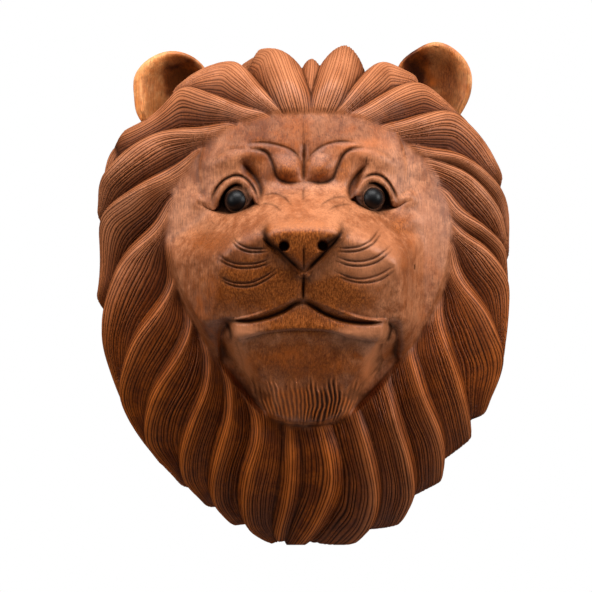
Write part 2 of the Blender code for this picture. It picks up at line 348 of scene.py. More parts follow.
def read_table(table, turn, share):
    """Smooth reading of a table with rows round the clock and columns going outwards."""
    rows, columns = table.shape
    row = (turn / math.tau % 1) * rows
    column = np.clip(share, 0, 1) * (columns - 1)
    r0 = np.floor(row).astype(int) % rows
    c0 = np.minimum(column.astype(int), columns - 2)
    down, across = row - np.floor(row), column - c0
    return read_between(table, (r0, (r0 + 1) % rows), (c0, c0 + 1), down, across)


def skin_place(turn, bend):
    """Places on the unrolled skin."""
    length = read_table(SKIN_LENGTH, turn, bend / LAST_BEND)
    return np.stack([length * np.cos(turn), length * np.sin(turn)], axis=-1)


def skin_of_pattern(points):
    """Places on the unrolled skin that lie under places of the front view."""
    x, z = points[:, 0] - MIDDLE[0], points[:, 1] - MIDDLE[1]
    turn = np.arctan2(z, x)
    out = np.minimum(np.hypot(x, z) / around_clock(OUTLINE_RADII, turn), JUST_INSIDE)
    return skin_place(turn, np.arcsin(out))


lengths = SKIN_LENGTH[:, -1]
print("skin, middle to wall:", round(lengths.min()), "to", round(lengths.max()), "mm")

# %% [markdown]
# ## The locks of the mane
#
# Each lock is one long S, drawn from its root at the face to its tip. Four numbers go with
# it: its width on the side of the crown and on the side of the chin, how far it rises, and
# how far the whole lock is lifted. Where two locks meet, the higher one wins, which leaves
# the sharp valley that a V-tool cuts. The paths are drawn over the paper; a formula
# would make them all alike, and no two locks of the carving are.

# %% Paths of the locks, on the paper
# width to the crown's side, width to the chin's side, rise, lift, crest from root to tip
CROWN_LOCKS = (
    (26, 26, 19, 2, (298, 118), (292, 103), (284, 88), (276, 68), (272, 46)),
    (13, 13, 12, -3, (308, 114), (311, 90), (312, 58)),
    (24, 24, 19, 2, (321, 118), (329, 102), (337, 82), (346, 45)),
)
OUTER_LOCKS = (
    (10, 20, 11, -3, (142, 124), (127, 136), (114, 155), (106, 177), (102, 200), (101, 222)),
    (9, 18, 11, -3, (458, 117), (474, 126), (487, 141), (494, 160), (497, 182)),
)
LEFT_LOCKS = (
    (11, 32, 14, 2, (284, 115), (273, 108), (260, 99), (248, 86), (238, 75), (227, 68), (213, 72),
     (199, 80), (184, 92)),
    (10, 30, 13, 1, (268, 115), (254, 115), (238, 112), (222, 107), (204, 101), (186, 99),
     (168, 107), (153, 120), (142, 134)),
    (11, 34, 13, 1, (232, 125), (215, 132), (198, 137), (180, 138), (165, 140), (150, 147),
     (134, 157), (121, 171), (111, 192), (106, 212)),
    (11, 36, 13, 1, (203, 148), (192, 161), (180, 172), (165, 181), (150, 189), (131, 202),
     (115, 216), (105, 236), (101, 262), (101, 290)),
    (14, 34, 13, 1, (175, 197), (169, 215), (160, 231), (150, 243), (139, 254), (128, 269),
     (120, 290), (114, 316), (113, 346), (118, 376), (126, 402), (134, 424)),
    (11, 30, 14, 2, (168, 236), (174, 260), (177, 280), (172, 297), (160, 314), (147, 330),
     (138, 348), (132, 370), (133, 395), (140, 420), (152, 446), (160, 462)),
    (11, 30, 14, 2, (181, 286), (189, 304), (194, 322), (190, 340), (181, 357), (168, 377),
     (158, 397), (154, 417), (157, 438), (165, 456), (178, 482)),
    (11, 30, 13, 1, (197, 320), (206, 340), (212, 362), (211, 382), (204, 402), (195, 422),
     (189, 440), (187, 460), (191, 482), (202, 503)),
    (11, 28, 13, 1, (217, 350), (228, 370), (233, 392), (233, 410), (228, 430), (221, 451),
     (217, 473), (219, 496), (229, 522)),
    (12, 34, 13, 1, (245, 388), (256, 406), (260, 427), (258, 443), (252, 462), (247, 482),
     (247, 502), (254, 522), (264, 545)),
)
RIGHT_LOCKS = (
    (12, 26, 15, 0, (331, 118), (345, 107), (358, 94), (369, 83), (380, 73), (393, 65), (406, 72)),
    (12, 32, 13, 1, (352, 117), (368, 113), (385, 104), (402, 96), (419, 93), (434, 98),
     (447, 108), (457, 120)),
    (10, 32, 13, 1, (381, 128), (396, 129), (412, 126), (428, 122), (445, 121), (461, 127),
     (475, 139), (487, 155), (494, 172)),
    (11, 26, 12, 1, (406, 146), (422, 154), (440, 158), (456, 162), (470, 171), (484, 185),
     (495, 205), (503, 230), (506, 250)),
    (8, 28, 11, 0, (424, 158), (440, 166), (455, 173), (470, 184), (483, 199), (494, 220),
     (502, 245)),
    (9, 22, 12, 0, (442, 188), (451, 206), (462, 219), (474, 227), (487, 239), (497, 254),
     (503, 272)),
    (10, 34, 13, 1, (448, 218), (453, 230), (462, 239), (476, 249), (490, 267), (498, 284),
     (504, 306), (508, 335), (507, 355)),
    (13, 34, 14, 2, (450, 243), (449, 262), (456, 284), (467, 299), (478, 313), (486, 333),
     (491, 356), (492, 380), (486, 405)),
    (12, 32, 14, 2, (439, 288), (434, 310), (437, 330), (444, 354), (452, 378), (458, 404),
     (462, 428)),
    (12, 32, 14, 2, (414, 328), (406, 346), (411, 366), (417, 388), (425, 409), (433, 427),
     (436, 446), (434, 468)),
    (12, 30, 14, 3, (384, 362), (382, 380), (387, 398), (391, 416), (400, 443), (406, 468),
     (406, 490), (398, 512)),
    (12, 26, 12, 1, (352, 402), (356, 414), (361, 430), (366, 450), (371, 470), (373, 495),
     (366, 520), (356, 542)),
    (16, 22, 12, 2, (318, 420), (326, 444), (330, 468), (329, 488), (320, 508), (306, 528),
     (294, 548)),
)
MIDDLE_LOCK = (
    20, 20, 10, -1, (291, 418), (292, 450), (293, 475), (290, 497), (283, 520), (279, 548),
)
DRAWN_LOCKS = LEFT_LOCKS + (MIDDLE_LOCK,) + RIGHT_LOCKS[::-1] + CROWN_LOCKS + OUTER_LOCKS
MIDDLE_NUMBER = len(LEFT_LOCKS)
SIDE_LOCKS = len(LEFT_LOCKS) + 1 + len(RIGHT_LOCKS)

# %% [markdown]
# A lock that reaches the silhouette goes on round the side towards the wall, so its path is
# carried on. The photograph shows nothing of the sides, so plainer locks are laid there by a
# formula, a little lower than the drawn ones, which therefore cover them wherever they are.

# %% Lay the locks on the skin
Lock = namedtuple("Lock", "path length crownwards chinwards turned rise lift")
PATH_SPACING, PATH_ROUNDS = 5.0, 9
ROOT_INSIDE_FACE, ROOT_LEAN = 18.0, 0.4
PAST_SILHOUETTE, NEAR_SILHOUETTE = 46.0, 0.93
UNDER_LOCKS, UNDER_POINTS = 34, 9
UNDER_HALF, UNDER_RISE, UNDER_LIFT = 15.0, 9.0, -9.0
UNDER_SWEEP, UNDER_PAST_WALL = 0.72, 10


def next_chinwards(number):
    """The next drawn lock towards the chin, if this is one of a side's row of locks."""
    if number < MIDDLE_NUMBER:
        return number + 1
    return number - 1 if MIDDLE_NUMBER < number < SIDE_LOCKS else None


def make_lock(crownwards, chinwards, rise, lift, turned, skin_points):
    """A lock along a path whose small kinks are smoothed out."""
    path = smooth_path(skin_points, PATH_SPACING)
    for _ in range(PATH_ROUNDS):
        path[1:-1] = (path[:-2] + 2 * path[1:-1] + path[2:]) / 4
    length = np.linalg.norm(np.diff(path, axis=0), axis=1).sum()
    return Lock(path, length, crownwards, chinwards, turned, rise, lift)


def drawn_lock(crownwards, chinwards, rise, lift, *places):
    """A lock drawn on the paper, rooted inside the face and carried on past the silhouette."""
    points = on_pattern(places)
    skin = skin_of_pattern(points)
    first, last = skin[0] - skin[1], skin[-1] - skin[-2]
    inwards = ROOT_LEAN * first / np.linalg.norm(first) - skin[0] / np.linalg.norm(skin[0])
    skin = np.vstack([skin[0] + ROOT_INSIDE_FACE * inwards / np.linalg.norm(inwards), skin])
    out = points[-1] - MIDDLE
    reach = around_clock(OUTLINE_RADII, np.arctan2(out[1], out[0]))
    if np.hypot(*out) > NEAR_SILHOUETTE * reach:
        last *= 0.5 / np.linalg.norm(last)
        radial = 0.5 * skin[-1] / np.linalg.norm(skin[-1])
        skin = np.vstack([skin, skin[-1] + PAST_SILHOUETTE * (last + radial)])
    turned = 1 if points[0][0] < 0 else -1
    return make_lock(crownwards, chinwards, rise, lift, turned, skin)


def under_lock(number):
    """A plain lock laid by a formula, from the face to the wall."""
    root = (number + 0.5) / UNDER_LOCKS * math.tau
    out = np.linspace(0, 1, UNDER_POINTS)
    turn = root - UNDER_SWEEP * math.cos(root) * out
    start = around_clock(FACE_RADII, np.array([root])) - ROOT_INSIDE_FACE
    end = read_table(SKIN_LENGTH, turn, np.ones(UNDER_POINTS)) + UNDER_PAST_WALL
    length = start + (end - start) * out
    skin = np.stack([length * np.cos(turn), length * np.sin(turn)], axis=1)
    return make_lock(UNDER_HALF, UNDER_HALF, UNDER_RISE, UNDER_LIFT, 1, skin)


LOCKS = [drawn_lock(*lock) for lock in DRAWN_LOCKS]
LOCKS += [under_lock(number) for number in range(UNDER_LOCKS)]
print("locks:", len(DRAWN_LOCKS), "drawn and", UNDER_LOCKS, "under them")

# %% [markdown]
# The height of the mane at a place is that of the highest lock there. The same reading also
# says which lock won, where across it the place lies, how much higher it is than the next
# one, and in which groove. The next steps need all of that: the groove for the combing, and
# the margin for the dark where two locks are equally high, which is partly stain that gathers
# there and partly painted shade in the crease.

# %% Height of the mane
Mane = namedtuple("Mane", "height lock across margin phase")
LOCK_FLOOR, LOCK_REACH = -11.0, 1.5
ROOT_WIDTH, ROOT_GROWS, GROWN_AT = 0.42, 0.58, (-0.05, 0.30)
TIP_NARROWS, NARROWING_AT = 0.35, (0.75, 1.0)
ROOT_RISE, ROOT_RISES, RISEN_AT = 0.6, 0.4, (0.05, 0.4)
TIP_DROP, DROPPING_AT = 6.0, (0.88, 1.0)
STEEP_POWER, GENTLE_POWER, LOWER_AT = (2.0, 1.35), (1.45, 1.12), (50, -70)
BOUNDARY_SHARE, BEYOND_NEXT, TINY = 0.88, 10.0, 1e-6
GROOVE_PITCH, GROOVE_CROWDING, GROOVE_NARROWEST = 2.75, 1.3, 0.5
GROOVE_HALF, GROOVE_POWER = 0.46, 1.3
# how many grooves the hand strays, over what length, and how far out of step lock by lock
SLOW_SWAY, QUICK_SWAY, SWAY_ASIDE = (0.22, 23, 2.3), (0.12, 9.1, 1.1), 6
UNEVEN_GROOVES, UNEVEN_RHYTHM = 0.2, 2.3
STROKE_STRENGTH, STROKE_UNEVEN, STROKE_RHYTHM, STROKES_A_LOCK = 0.66, 0.34, 12.9898, 7.0
LIGHTER_CUT, LIGHTER_AT = 0.5, (-0.3, 0.35)


def lock_width(along):
    """How wide a lock has grown from its root, and how it narrows again to its tip."""
    grown = ROOT_WIDTH + ROOT_GROWS * smooth_step(*GROWN_AT, along)
    return grown - TIP_NARROWS * smooth_step(*NARROWING_AT, along)


def sway(kind, run, index, aside=0.0):
    grooves, length, out_of_step = kind
    return grooves * np.sin(run / length + out_of_step * index + aside / SWAY_ASIDE)


def lock_profile(index, skin):
    """How high a lock stands at each place, where across and along it, and in which groove."""
    lock, other = LOCKS[index], next_chinwards(index)
    aside, along = beside(lock.path, skin)
    aside = aside * lock.turned
    width = lock_width(along)
    groove = aside / (GROOVE_PITCH * np.maximum(width, GROOVE_NARROWEST))
    below = aside > 0
    across = aside / (np.where(below, lock.chinwards, lock.crownwards) * width)
    if other is not None:
        left = -beside(LOCKS[other].path, skin)[0] * lock.turned
        share = aside / (aside + np.maximum(left, 0) + TINY)
        share = np.where(left > 0, share, 1 - left / BEYOND_NEXT)
        crowded = share * lock.chinwards * GROOVE_CROWDING / GROOVE_PITCH
        across = np.where(below, share / BOUNDARY_SHARE, across)
        groove = np.where(below, crowded, groove)
    lower = smooth_step(*LOWER_AT, skin[:, 1])
    gentle, steep = (high + (low - high) * lower for high, low in (GENTLE_POWER, STEEP_POWER))
    rounded = 1 - np.abs(across) ** np.where(below, gentle, steep)
    full = ROOT_RISE + ROOT_RISES * smooth_step(*RISEN_AT, along)
    height = lock.lift + lock.rise * full * rounded - TIP_DROP * smooth_step(*DROPPING_AT, along)
    run = along * lock.length
    groove = groove + (sway(SLOW_SWAY, run, index) + sway(QUICK_SWAY, run, index, aside))
    uneven = UNEVEN_GROOVES * np.sin(UNEVEN_RHYTHM * groove + index)
    return height, across, along, groove + uneven


def comb_mane(skin):
    """The mane's relief at places on its skin, without the combed grooves."""
    count = len(skin)
    best, second = np.full(count, LOCK_FLOOR), np.full(count, LOCK_FLOOR)
    winner, across, phase = np.zeros(count, dtype=int), np.zeros(count), np.zeros(count)
    for index, lock in enumerate(LOCKS):
        near = close_to(lock.path, skin, LOCK_REACH * max(lock.crownwards, lock.chinwards))
        height, side, _, groove = lock_profile(index, skin[near])
        wins = height > best[near]
        second[near] = np.where(wins, best[near], np.maximum(second[near], height))
        near = near[wins]
        best[near], winner[near] = height[wins], index
        across[near], phase[near] = side[wins], groove[wins]
    return Mane(best, winner, across, best - second, phase)


def groove_line(phase, power):
    """A sharp low line in the middle of each groove, from 1 there to 0 on the ridges."""
    return np.maximum(1 - np.abs(phase - np.round(phase)) / GROOVE_HALF, 0) ** power


def groove_depth(mane):
    """How deep the small gouge has cut, from 0 to 1, stroke by stroke."""
    stroke = np.round(mane.phase) + STROKES_A_LOCK * mane.lock
    strength = STROKE_STRENGTH + STROKE_UNEVEN * np.sin(stroke * STROKE_RHYTHM)
    lighter = LIGHTER_CUT + (1 - LIGHTER_CUT) * smooth_step(*LIGHTER_AT, mane.across)
    return groove_line(mane.phase, GROOVE_POWER) * strength * lighter


# %% [markdown]
# ## The face
#
# The face is built from a few big masses first, as a modeller would block it out in clay:
# skull, brow, a boxy muzzle, the ridge down the nose, the pad of the nose and the jaw. Each
# is a small formula with its own sizes, and soft_max lets one stand on another.

# %% The masses
Mound = namedtuple("Mound", "middle half base rise")
Ridge = namedtuple("Ridge", "low high half_low half_high flank ceiling roundness")
SKULL = Mound(middle=(4.0, 50.0), half=(178.0, 206.0), base=64.0, rise=82.0)
BROW = Mound(middle=(0.0, 130.0), half=(104.0, 88.0), base=108.0, rise=36.0)
NOSE = Ridge((1.0, 27.0, 213.0), (1.0, 62.0, 226.0), 3.0, 37.0, 3.5, 226.5, 9.0)
JAW = Ridge((5.0, -95.0, 161.0), (6.0, -36.0, 189.0), 34.0, 72.0, 2.6, 190.0, 6.0)
MUZZLE_FRONT, MUZZLE_FRONT_AT, MUZZLE_LEAN = 214.0, 62.0, 0.30
MUZZLE_HALF, MUZZLE_ROUND, MUZZLE_ROUND_POWER = 97.0, 13.0, 2.4
MUZZLE_TOP_OUT, MUZZLE_TOP_UP = (0, 20, 40, 66, 100, 130), (112, 110, 105, 92, 64, 36)
MUZZLE_TOP_BASE, MUZZLE_TOP_SLOPE = 150.0, 1.85
MUZZLE_LEFT_EDGE, MUZZLE_LEFT_SLOPE = -84.0, 1.6
MUZZLE_RIGHT_EDGE, MUZZLE_RIGHT_SLOPE = 94.0, 3.4
MUZZLE_FOOT, MUZZLE_FOOT_FALL = -20.0, 1.3
NOSE_TOP, NOSE_TOP_FALL, NOSE_TOP_ROUND = 71.0, 1.85, 12.0
NOSE_CROWN, NOSE_CROWN_POWER = 10.0, 4
UNDER_CHIN_FALL, BEARD_TIP, BEARD_TIP_FALL = 0.5, -121.0, 2.2
LIP_DROP, LIP_HALF_WIDTH, LIP_BOW = 22.0, 78.0, 0.8
LIP_UNDERCUT, MOUTH_ENDS = 80.0, (92.0, 78.0)
UPPER_LIP_AT, NOSE_FOOT_AT, LOWER_LIP_AT = (2, -20), (26, 10), (0, 16)
WALL_BLEND, FRONT_BLEND, TOP_BLEND = 8, 14, 26
SKULL_BLEND, NOSE_BLEND, JAW_BLEND = 24, 5, 10


def mound(x, z, shape):
    """Depth of a rounded mound, falling away outside its half sizes."""
    out = (((x - shape.middle[0]) / shape.half[0]) ** 2
           + ((z - shape.middle[1]) / shape.half[1]) ** 2)
    return shape.base + shape.rise * np.where(out < 1, np.sqrt(np.maximum(1 - out, 0.0)), 1 - out)


def ridge(x, z, shape):
    """Depth of a ridge from its low end to its high end, with falling flanks and a level top."""
    along = np.maximum((z - shape.low[1]) / (shape.high[1] - shape.low[1]), 0.0)
    centre = shape.low[0] + along * (shape.high[0] - shape.low[0])
    half = np.interp(along, (0, 1), (shape.half_low, shape.half_high))
    top = shape.low[2] + along * (shape.high[2] - shape.low[2])
    aside = np.maximum(np.abs(x - centre) - half, 0.0)
    return soft_min(top - shape.flank * aside, shape.ceiling, shape.roundness)


def mouth_height(x):
    """Height of the line between the lips at each place across."""
    return -LIP_DROP * smooth_step(0, LIP_HALF_WIDTH, np.abs(x)) ** LIP_BOW


def muzzle_box(x, z):
    """The muzzle: a front that leans back downwards, a sloping top and two walls."""
    out = np.abs(x)
    front = MUZZLE_FRONT - MUZZLE_LEAN * (MUZZLE_FRONT_AT - z)
    front = front - MUZZLE_ROUND * (out / MUZZLE_HALF) ** MUZZLE_ROUND_POWER
    top_edge = np.interp(out, MUZZLE_TOP_OUT, MUZZLE_TOP_UP)
    top = MUZZLE_TOP_BASE + MUZZLE_TOP_SLOPE * (top_edge - z)
    left = MUZZLE_FRONT - MUZZLE_ROUND + MUZZLE_LEFT_SLOPE * (x - MUZZLE_LEFT_EDGE)
    right = MUZZLE_FRONT - MUZZLE_ROUND - MUZZLE_RIGHT_SLOPE * (x - MUZZLE_RIGHT_EDGE)
    box = soft_min(soft_min(front, soft_min(left, right, WALL_BLEND), FRONT_BLEND), top, TOP_BLEND)
    return box - MUZZLE_FOOT_FALL * np.maximum(MUZZLE_FOOT - z, 0.0)


def masses(x, z):
    """Depth of the big masses together."""
    over_mouth = z - mouth_height(x)
    at_mouth = smooth_step(*MOUTH_ENDS, np.abs(x - JAW.high[0]))
    skull = soft_max(mound(x, z, SKULL), mound(x, z, BROW), SKULL_BLEND)
    muzzle = muzzle_box(x, z) - LIP_UNDERCUT * at_mouth * smooth_step(*UPPER_LIP_AT, over_mouth)
    crowned = NOSE_CROWN * ((x - NOSE.high[0]) / NOSE.half_high) ** NOSE_CROWN_POWER
    nose_top = NOSE.ceiling - NOSE_TOP_FALL * (z - NOSE_TOP) - crowned
    nose = soft_min(ridge(x, z, NOSE), nose_top, NOSE_TOP_ROUND)
    nose = nose - LIP_UNDERCUT * smooth_step(*NOSE_FOOT_AT, z)
    muzzle = soft_max(muzzle, nose, NOSE_BLEND)
    jaw = ridge(x, z, JAW) - UNDER_CHIN_FALL * np.maximum(JAW.low[1] - z, 0.0)
    jaw = jaw - BEARD_TIP_FALL * np.maximum(BEARD_TIP - z, 0.0)
    jaw = jaw - LIP_UNDERCUT * smooth_step(*LOWER_LIP_AT, over_mouth)
    return soft_max(soft_max(skull, muzzle, SKULL_BLEND), jaw, JAW_BLEND)


# %% [markdown]
# Next come the soft swellings and hollows that turn the blocks into a face: the two frowning
# pads over the nose, the arches over the eyes, the hollows at their inner corners, and the
# whisker pads. Each is a smooth bump with a place, two half sizes, a turn and a height.

# %% Swellings and hollows
# middle on the paper, half sizes, turn in degrees, height
SWELLINGS = (
    ("left frown pad", (287, 169), (15, 11), -15, 8.5),
    ("right frown pad", (320, 168), (15, 11), 15, 8.5),
    ("between the pads", (304, 165), (4, 20), 0, -5.0),
    ("left arch", (236, 157), (34, 9), 14, 4.0),
    ("right arch", (372, 156), (34, 9), -14, 4.0),
    ("left inner hollow", (252, 174), (6, 13), 32, -7.0),
    ("right inner hollow", (356, 180), (5, 14), -25, -6.5),
    ("left temple", (196, 176), (16, 26), -20, -2.0),
    ("right temple", (414, 172), (16, 26), 20, -2.0),
    ("left cheek hollow", (211, 238), (14, 10), 0, -3.0),
    ("right cheek bump", (405, 223), (12, 8), 0, 6.0),
    ("left under-eye", (232, 222), (26, 6), -6, 2.0),
    ("right under-eye", (378, 221), (26, 6), 6, 2.0),
    ("left whisker pad", (256, 285), (30, 26), 0, 3.0),
    ("right whisker pad", (352, 287), (30, 26), 0, 3.0),
    ("philtrum", (303, 287), (7, 16), 0, -4.0),
    ("lower lip", (308, 334), (70, 6), 0, 1.5),
    ("chin facet", (372, 362), (12, 22), -24, -5.0),
)


def half_sizes_off(x, z, place, half, turn):
    """Half sizes across and up from a place on the paper, along axes turned by so many degrees."""
    middle = on_pattern([place])[0]
    cos, sin = math.cos(math.radians(turn)), math.sin(math.radians(turn))
    dx, dz = x - middle[0], z - middle[1]
    return (dx * cos + dz * sin) / half[0], (dz * cos - dx * sin) / half[1]


def swellings(x, z):
    total = np.zeros_like(x)
    for _, place, half, turn, height in SWELLINGS:
        across, up = half_sizes_off(x, z, place, half, turn)
        total += height * np.exp(-(across**2) - up**2)
    return total


# %% [markdown]
# ## Eyes
#
# Each eye is a wooden ball behind an almond opening. The lids stand proud of it, the upper
# one with a fold cut over it, and the black bead is let into the ball. The bead is turned
# outwards a little, so its place comes from the frame and not from the paper.

# %% Eye sockets
Eye = namedtuple("Eye", "bead opening lid_fold")
LEFT_EYE = Eye(
    bead=(-66.3, 98.0),
    opening=(
        (198, 203), (206, 206.5), (213, 209.5), (217, 206), (219.5, 198), (224, 190), (230, 185),
        (236, 183), (242, 184.5), (248, 189), (252, 195), (255, 201), (260, 205), (254, 207.5),
        (246, 211), (236, 214), (225, 214.5), (216, 213), (207, 209.5),
    ),
    lid_fold=(
        (211.5, 204), (213, 196), (217, 188), (223, 181), (230, 177), (236, 175.5), (243, 177),
        (249, 181.5), (254, 188.5), (257, 196), (258.5, 203),
    ),
)
RIGHT_EYE = Eye(
    bead=(69.4, 100.1),
    opening=(
        (410, 200), (403, 203), (396, 206.5), (392.5, 204), (389.5, 194), (385, 187), (379, 183),
        (373, 181.5), (366, 183.5), (361, 188.5), (357, 194.5), (349, 200), (356, 205),
        (365, 209.5), (374, 212), (383, 212), (391, 210.5), (398, 208), (405, 204),
    ),
    lid_fold=(
        (361, 180.5), (367, 176.5), (373, 174.5), (380, 175.5), (386, 179.5), (391, 186),
        (395, 194), (397, 201),
    ),
)
EYES = (LEFT_EYE, RIGHT_EYE)
BEAD_RADIUS, BEAD_DOME, BEAD_SHANK = 10.25, 7.5, 6.0
BEAD_DEPTH = 153.5
BEAD_TURN_OUT = math.radians(20)
BALL_RADIUS, BALL_SHADE, BALL_SHADE_AND_STAIN = 15.2, (2.0, 6.0), 0.66
INNER_SHADE_AND_STAIN, INNER_AT = 0.5, (6, 14)
CORNER_PALER, INNER_CORNER_AT, OUTER_CORNER_AT = 0.5, (9, 17), (15, 27)
SOCKET_DEPTH, SOCKET_WALL_AT, LID_EDGE_AT, SOCKET_DARK_AT = 10.5, (0, -3.5), (0, -1.3), (0.3, -1.2)
LID_SWELL, LID_SWELL_OUT, LID_SWELL_WIDTH = 3.0, 3.5, 5.0
LOWER_LID, UPPER_LID, UPPER_AT = 0.35, 0.65, (-9, 2)
EYE_SPACING, EYE_REACH = 1.5, 22.0


def seen_place(eye):
    """Where the middle of a bead shows on the pattern."""
    x, z, _ = from_world(np.array([[eye.bead[0], -BEAD_DEPTH, eye.bead[1]]]) * MM)
    return x[0], z[0]


def eyeball(x, z, eye):
    """Depth of the wooden ball that carries the bead, and whether it is there at all."""
    side = math.copysign(1, eye.bead[0])
    behind = math.sqrt(BALL_RADIUS**2 - BEAD_RADIUS**2)
    seen_x, seen_z = seen_place(eye)
    dx = x - (seen_x - side * behind * math.sin(BEAD_TURN_OUT))
    dz = z - seen_z
    left = BALL_RADIUS**2 - dx**2 - dz**2
    return BEAD_DEPTH - behind * math.cos(BEAD_TURN_OUT) + np.sqrt(np.maximum(left, 0.0)), left > 0


def carve_eyes(x, z, depth):
    """The face's depth with the eyes cut in, and how dark the sockets are painted: painted shade in
    the gap round the ball, and painted shade with some stain on the ball.
    """
    points = np.stack([x, z], axis=1)
    dark = np.zeros(len(x))
    for eye in EYES:
        outline = smooth_path(on_pattern(eye.opening + eye.opening[:1]), EYE_SPACING)
        near = close_to(outline, points, EYE_REACH)
        local = points[near]
        aside, _ = nearest_on(outline, local)
        out = np.where(inside_of(outline, local), -1, 1) * np.abs(aside)
        upper = LOWER_LID + UPPER_LID * smooth_step(*UPPER_AT, local[:, 1] - eye.bead[1])
        lid = LID_SWELL * np.exp(-(((out - LID_SWELL_OUT) / LID_SWELL_WIDTH) ** 2)) * upper
        skin = depth[near] + lid
        ball, there = eyeball(*local.T, eye)
        floor = skin - SOCKET_DEPTH * smooth_step(*SOCKET_WALL_AT, out)
        inside = np.where(there, np.maximum(ball, floor), floor)
        cut = skin + (np.minimum(inside, skin) - skin) * smooth_step(*LID_EDGE_AT, out)
        depth[near] = np.where(out < 0, cut, skin)
        # The gap round the ball is painted dark as painted shade, and the ball itself gets painted
        # shade with some stain, less at the corners.
        gap = smooth_step(BEAD_DEPTH - BALL_SHADE[0], BEAD_DEPTH - BALL_SHADE[1], ball)
        outwards = (local[:, 0] - eye.bead[0]) * math.copysign(1, eye.bead[0])
        corners = smooth_step(*INNER_CORNER_AT, -outwards) + smooth_step(*OUTER_CORNER_AT, outwards)
        ball_dark = BALL_SHADE_AND_STAIN * (1 + INNER_SHADE_AND_STAIN * smooth_step(*INNER_AT, -outwards))
        shade = np.where(there, np.maximum(gap, ball_dark), 1.0) - CORNER_PALER * corners * ~there
        dark[near] = np.maximum(dark[near], smooth_step(*SOCKET_DARK_AT, out) * shade)
    return depth, dark
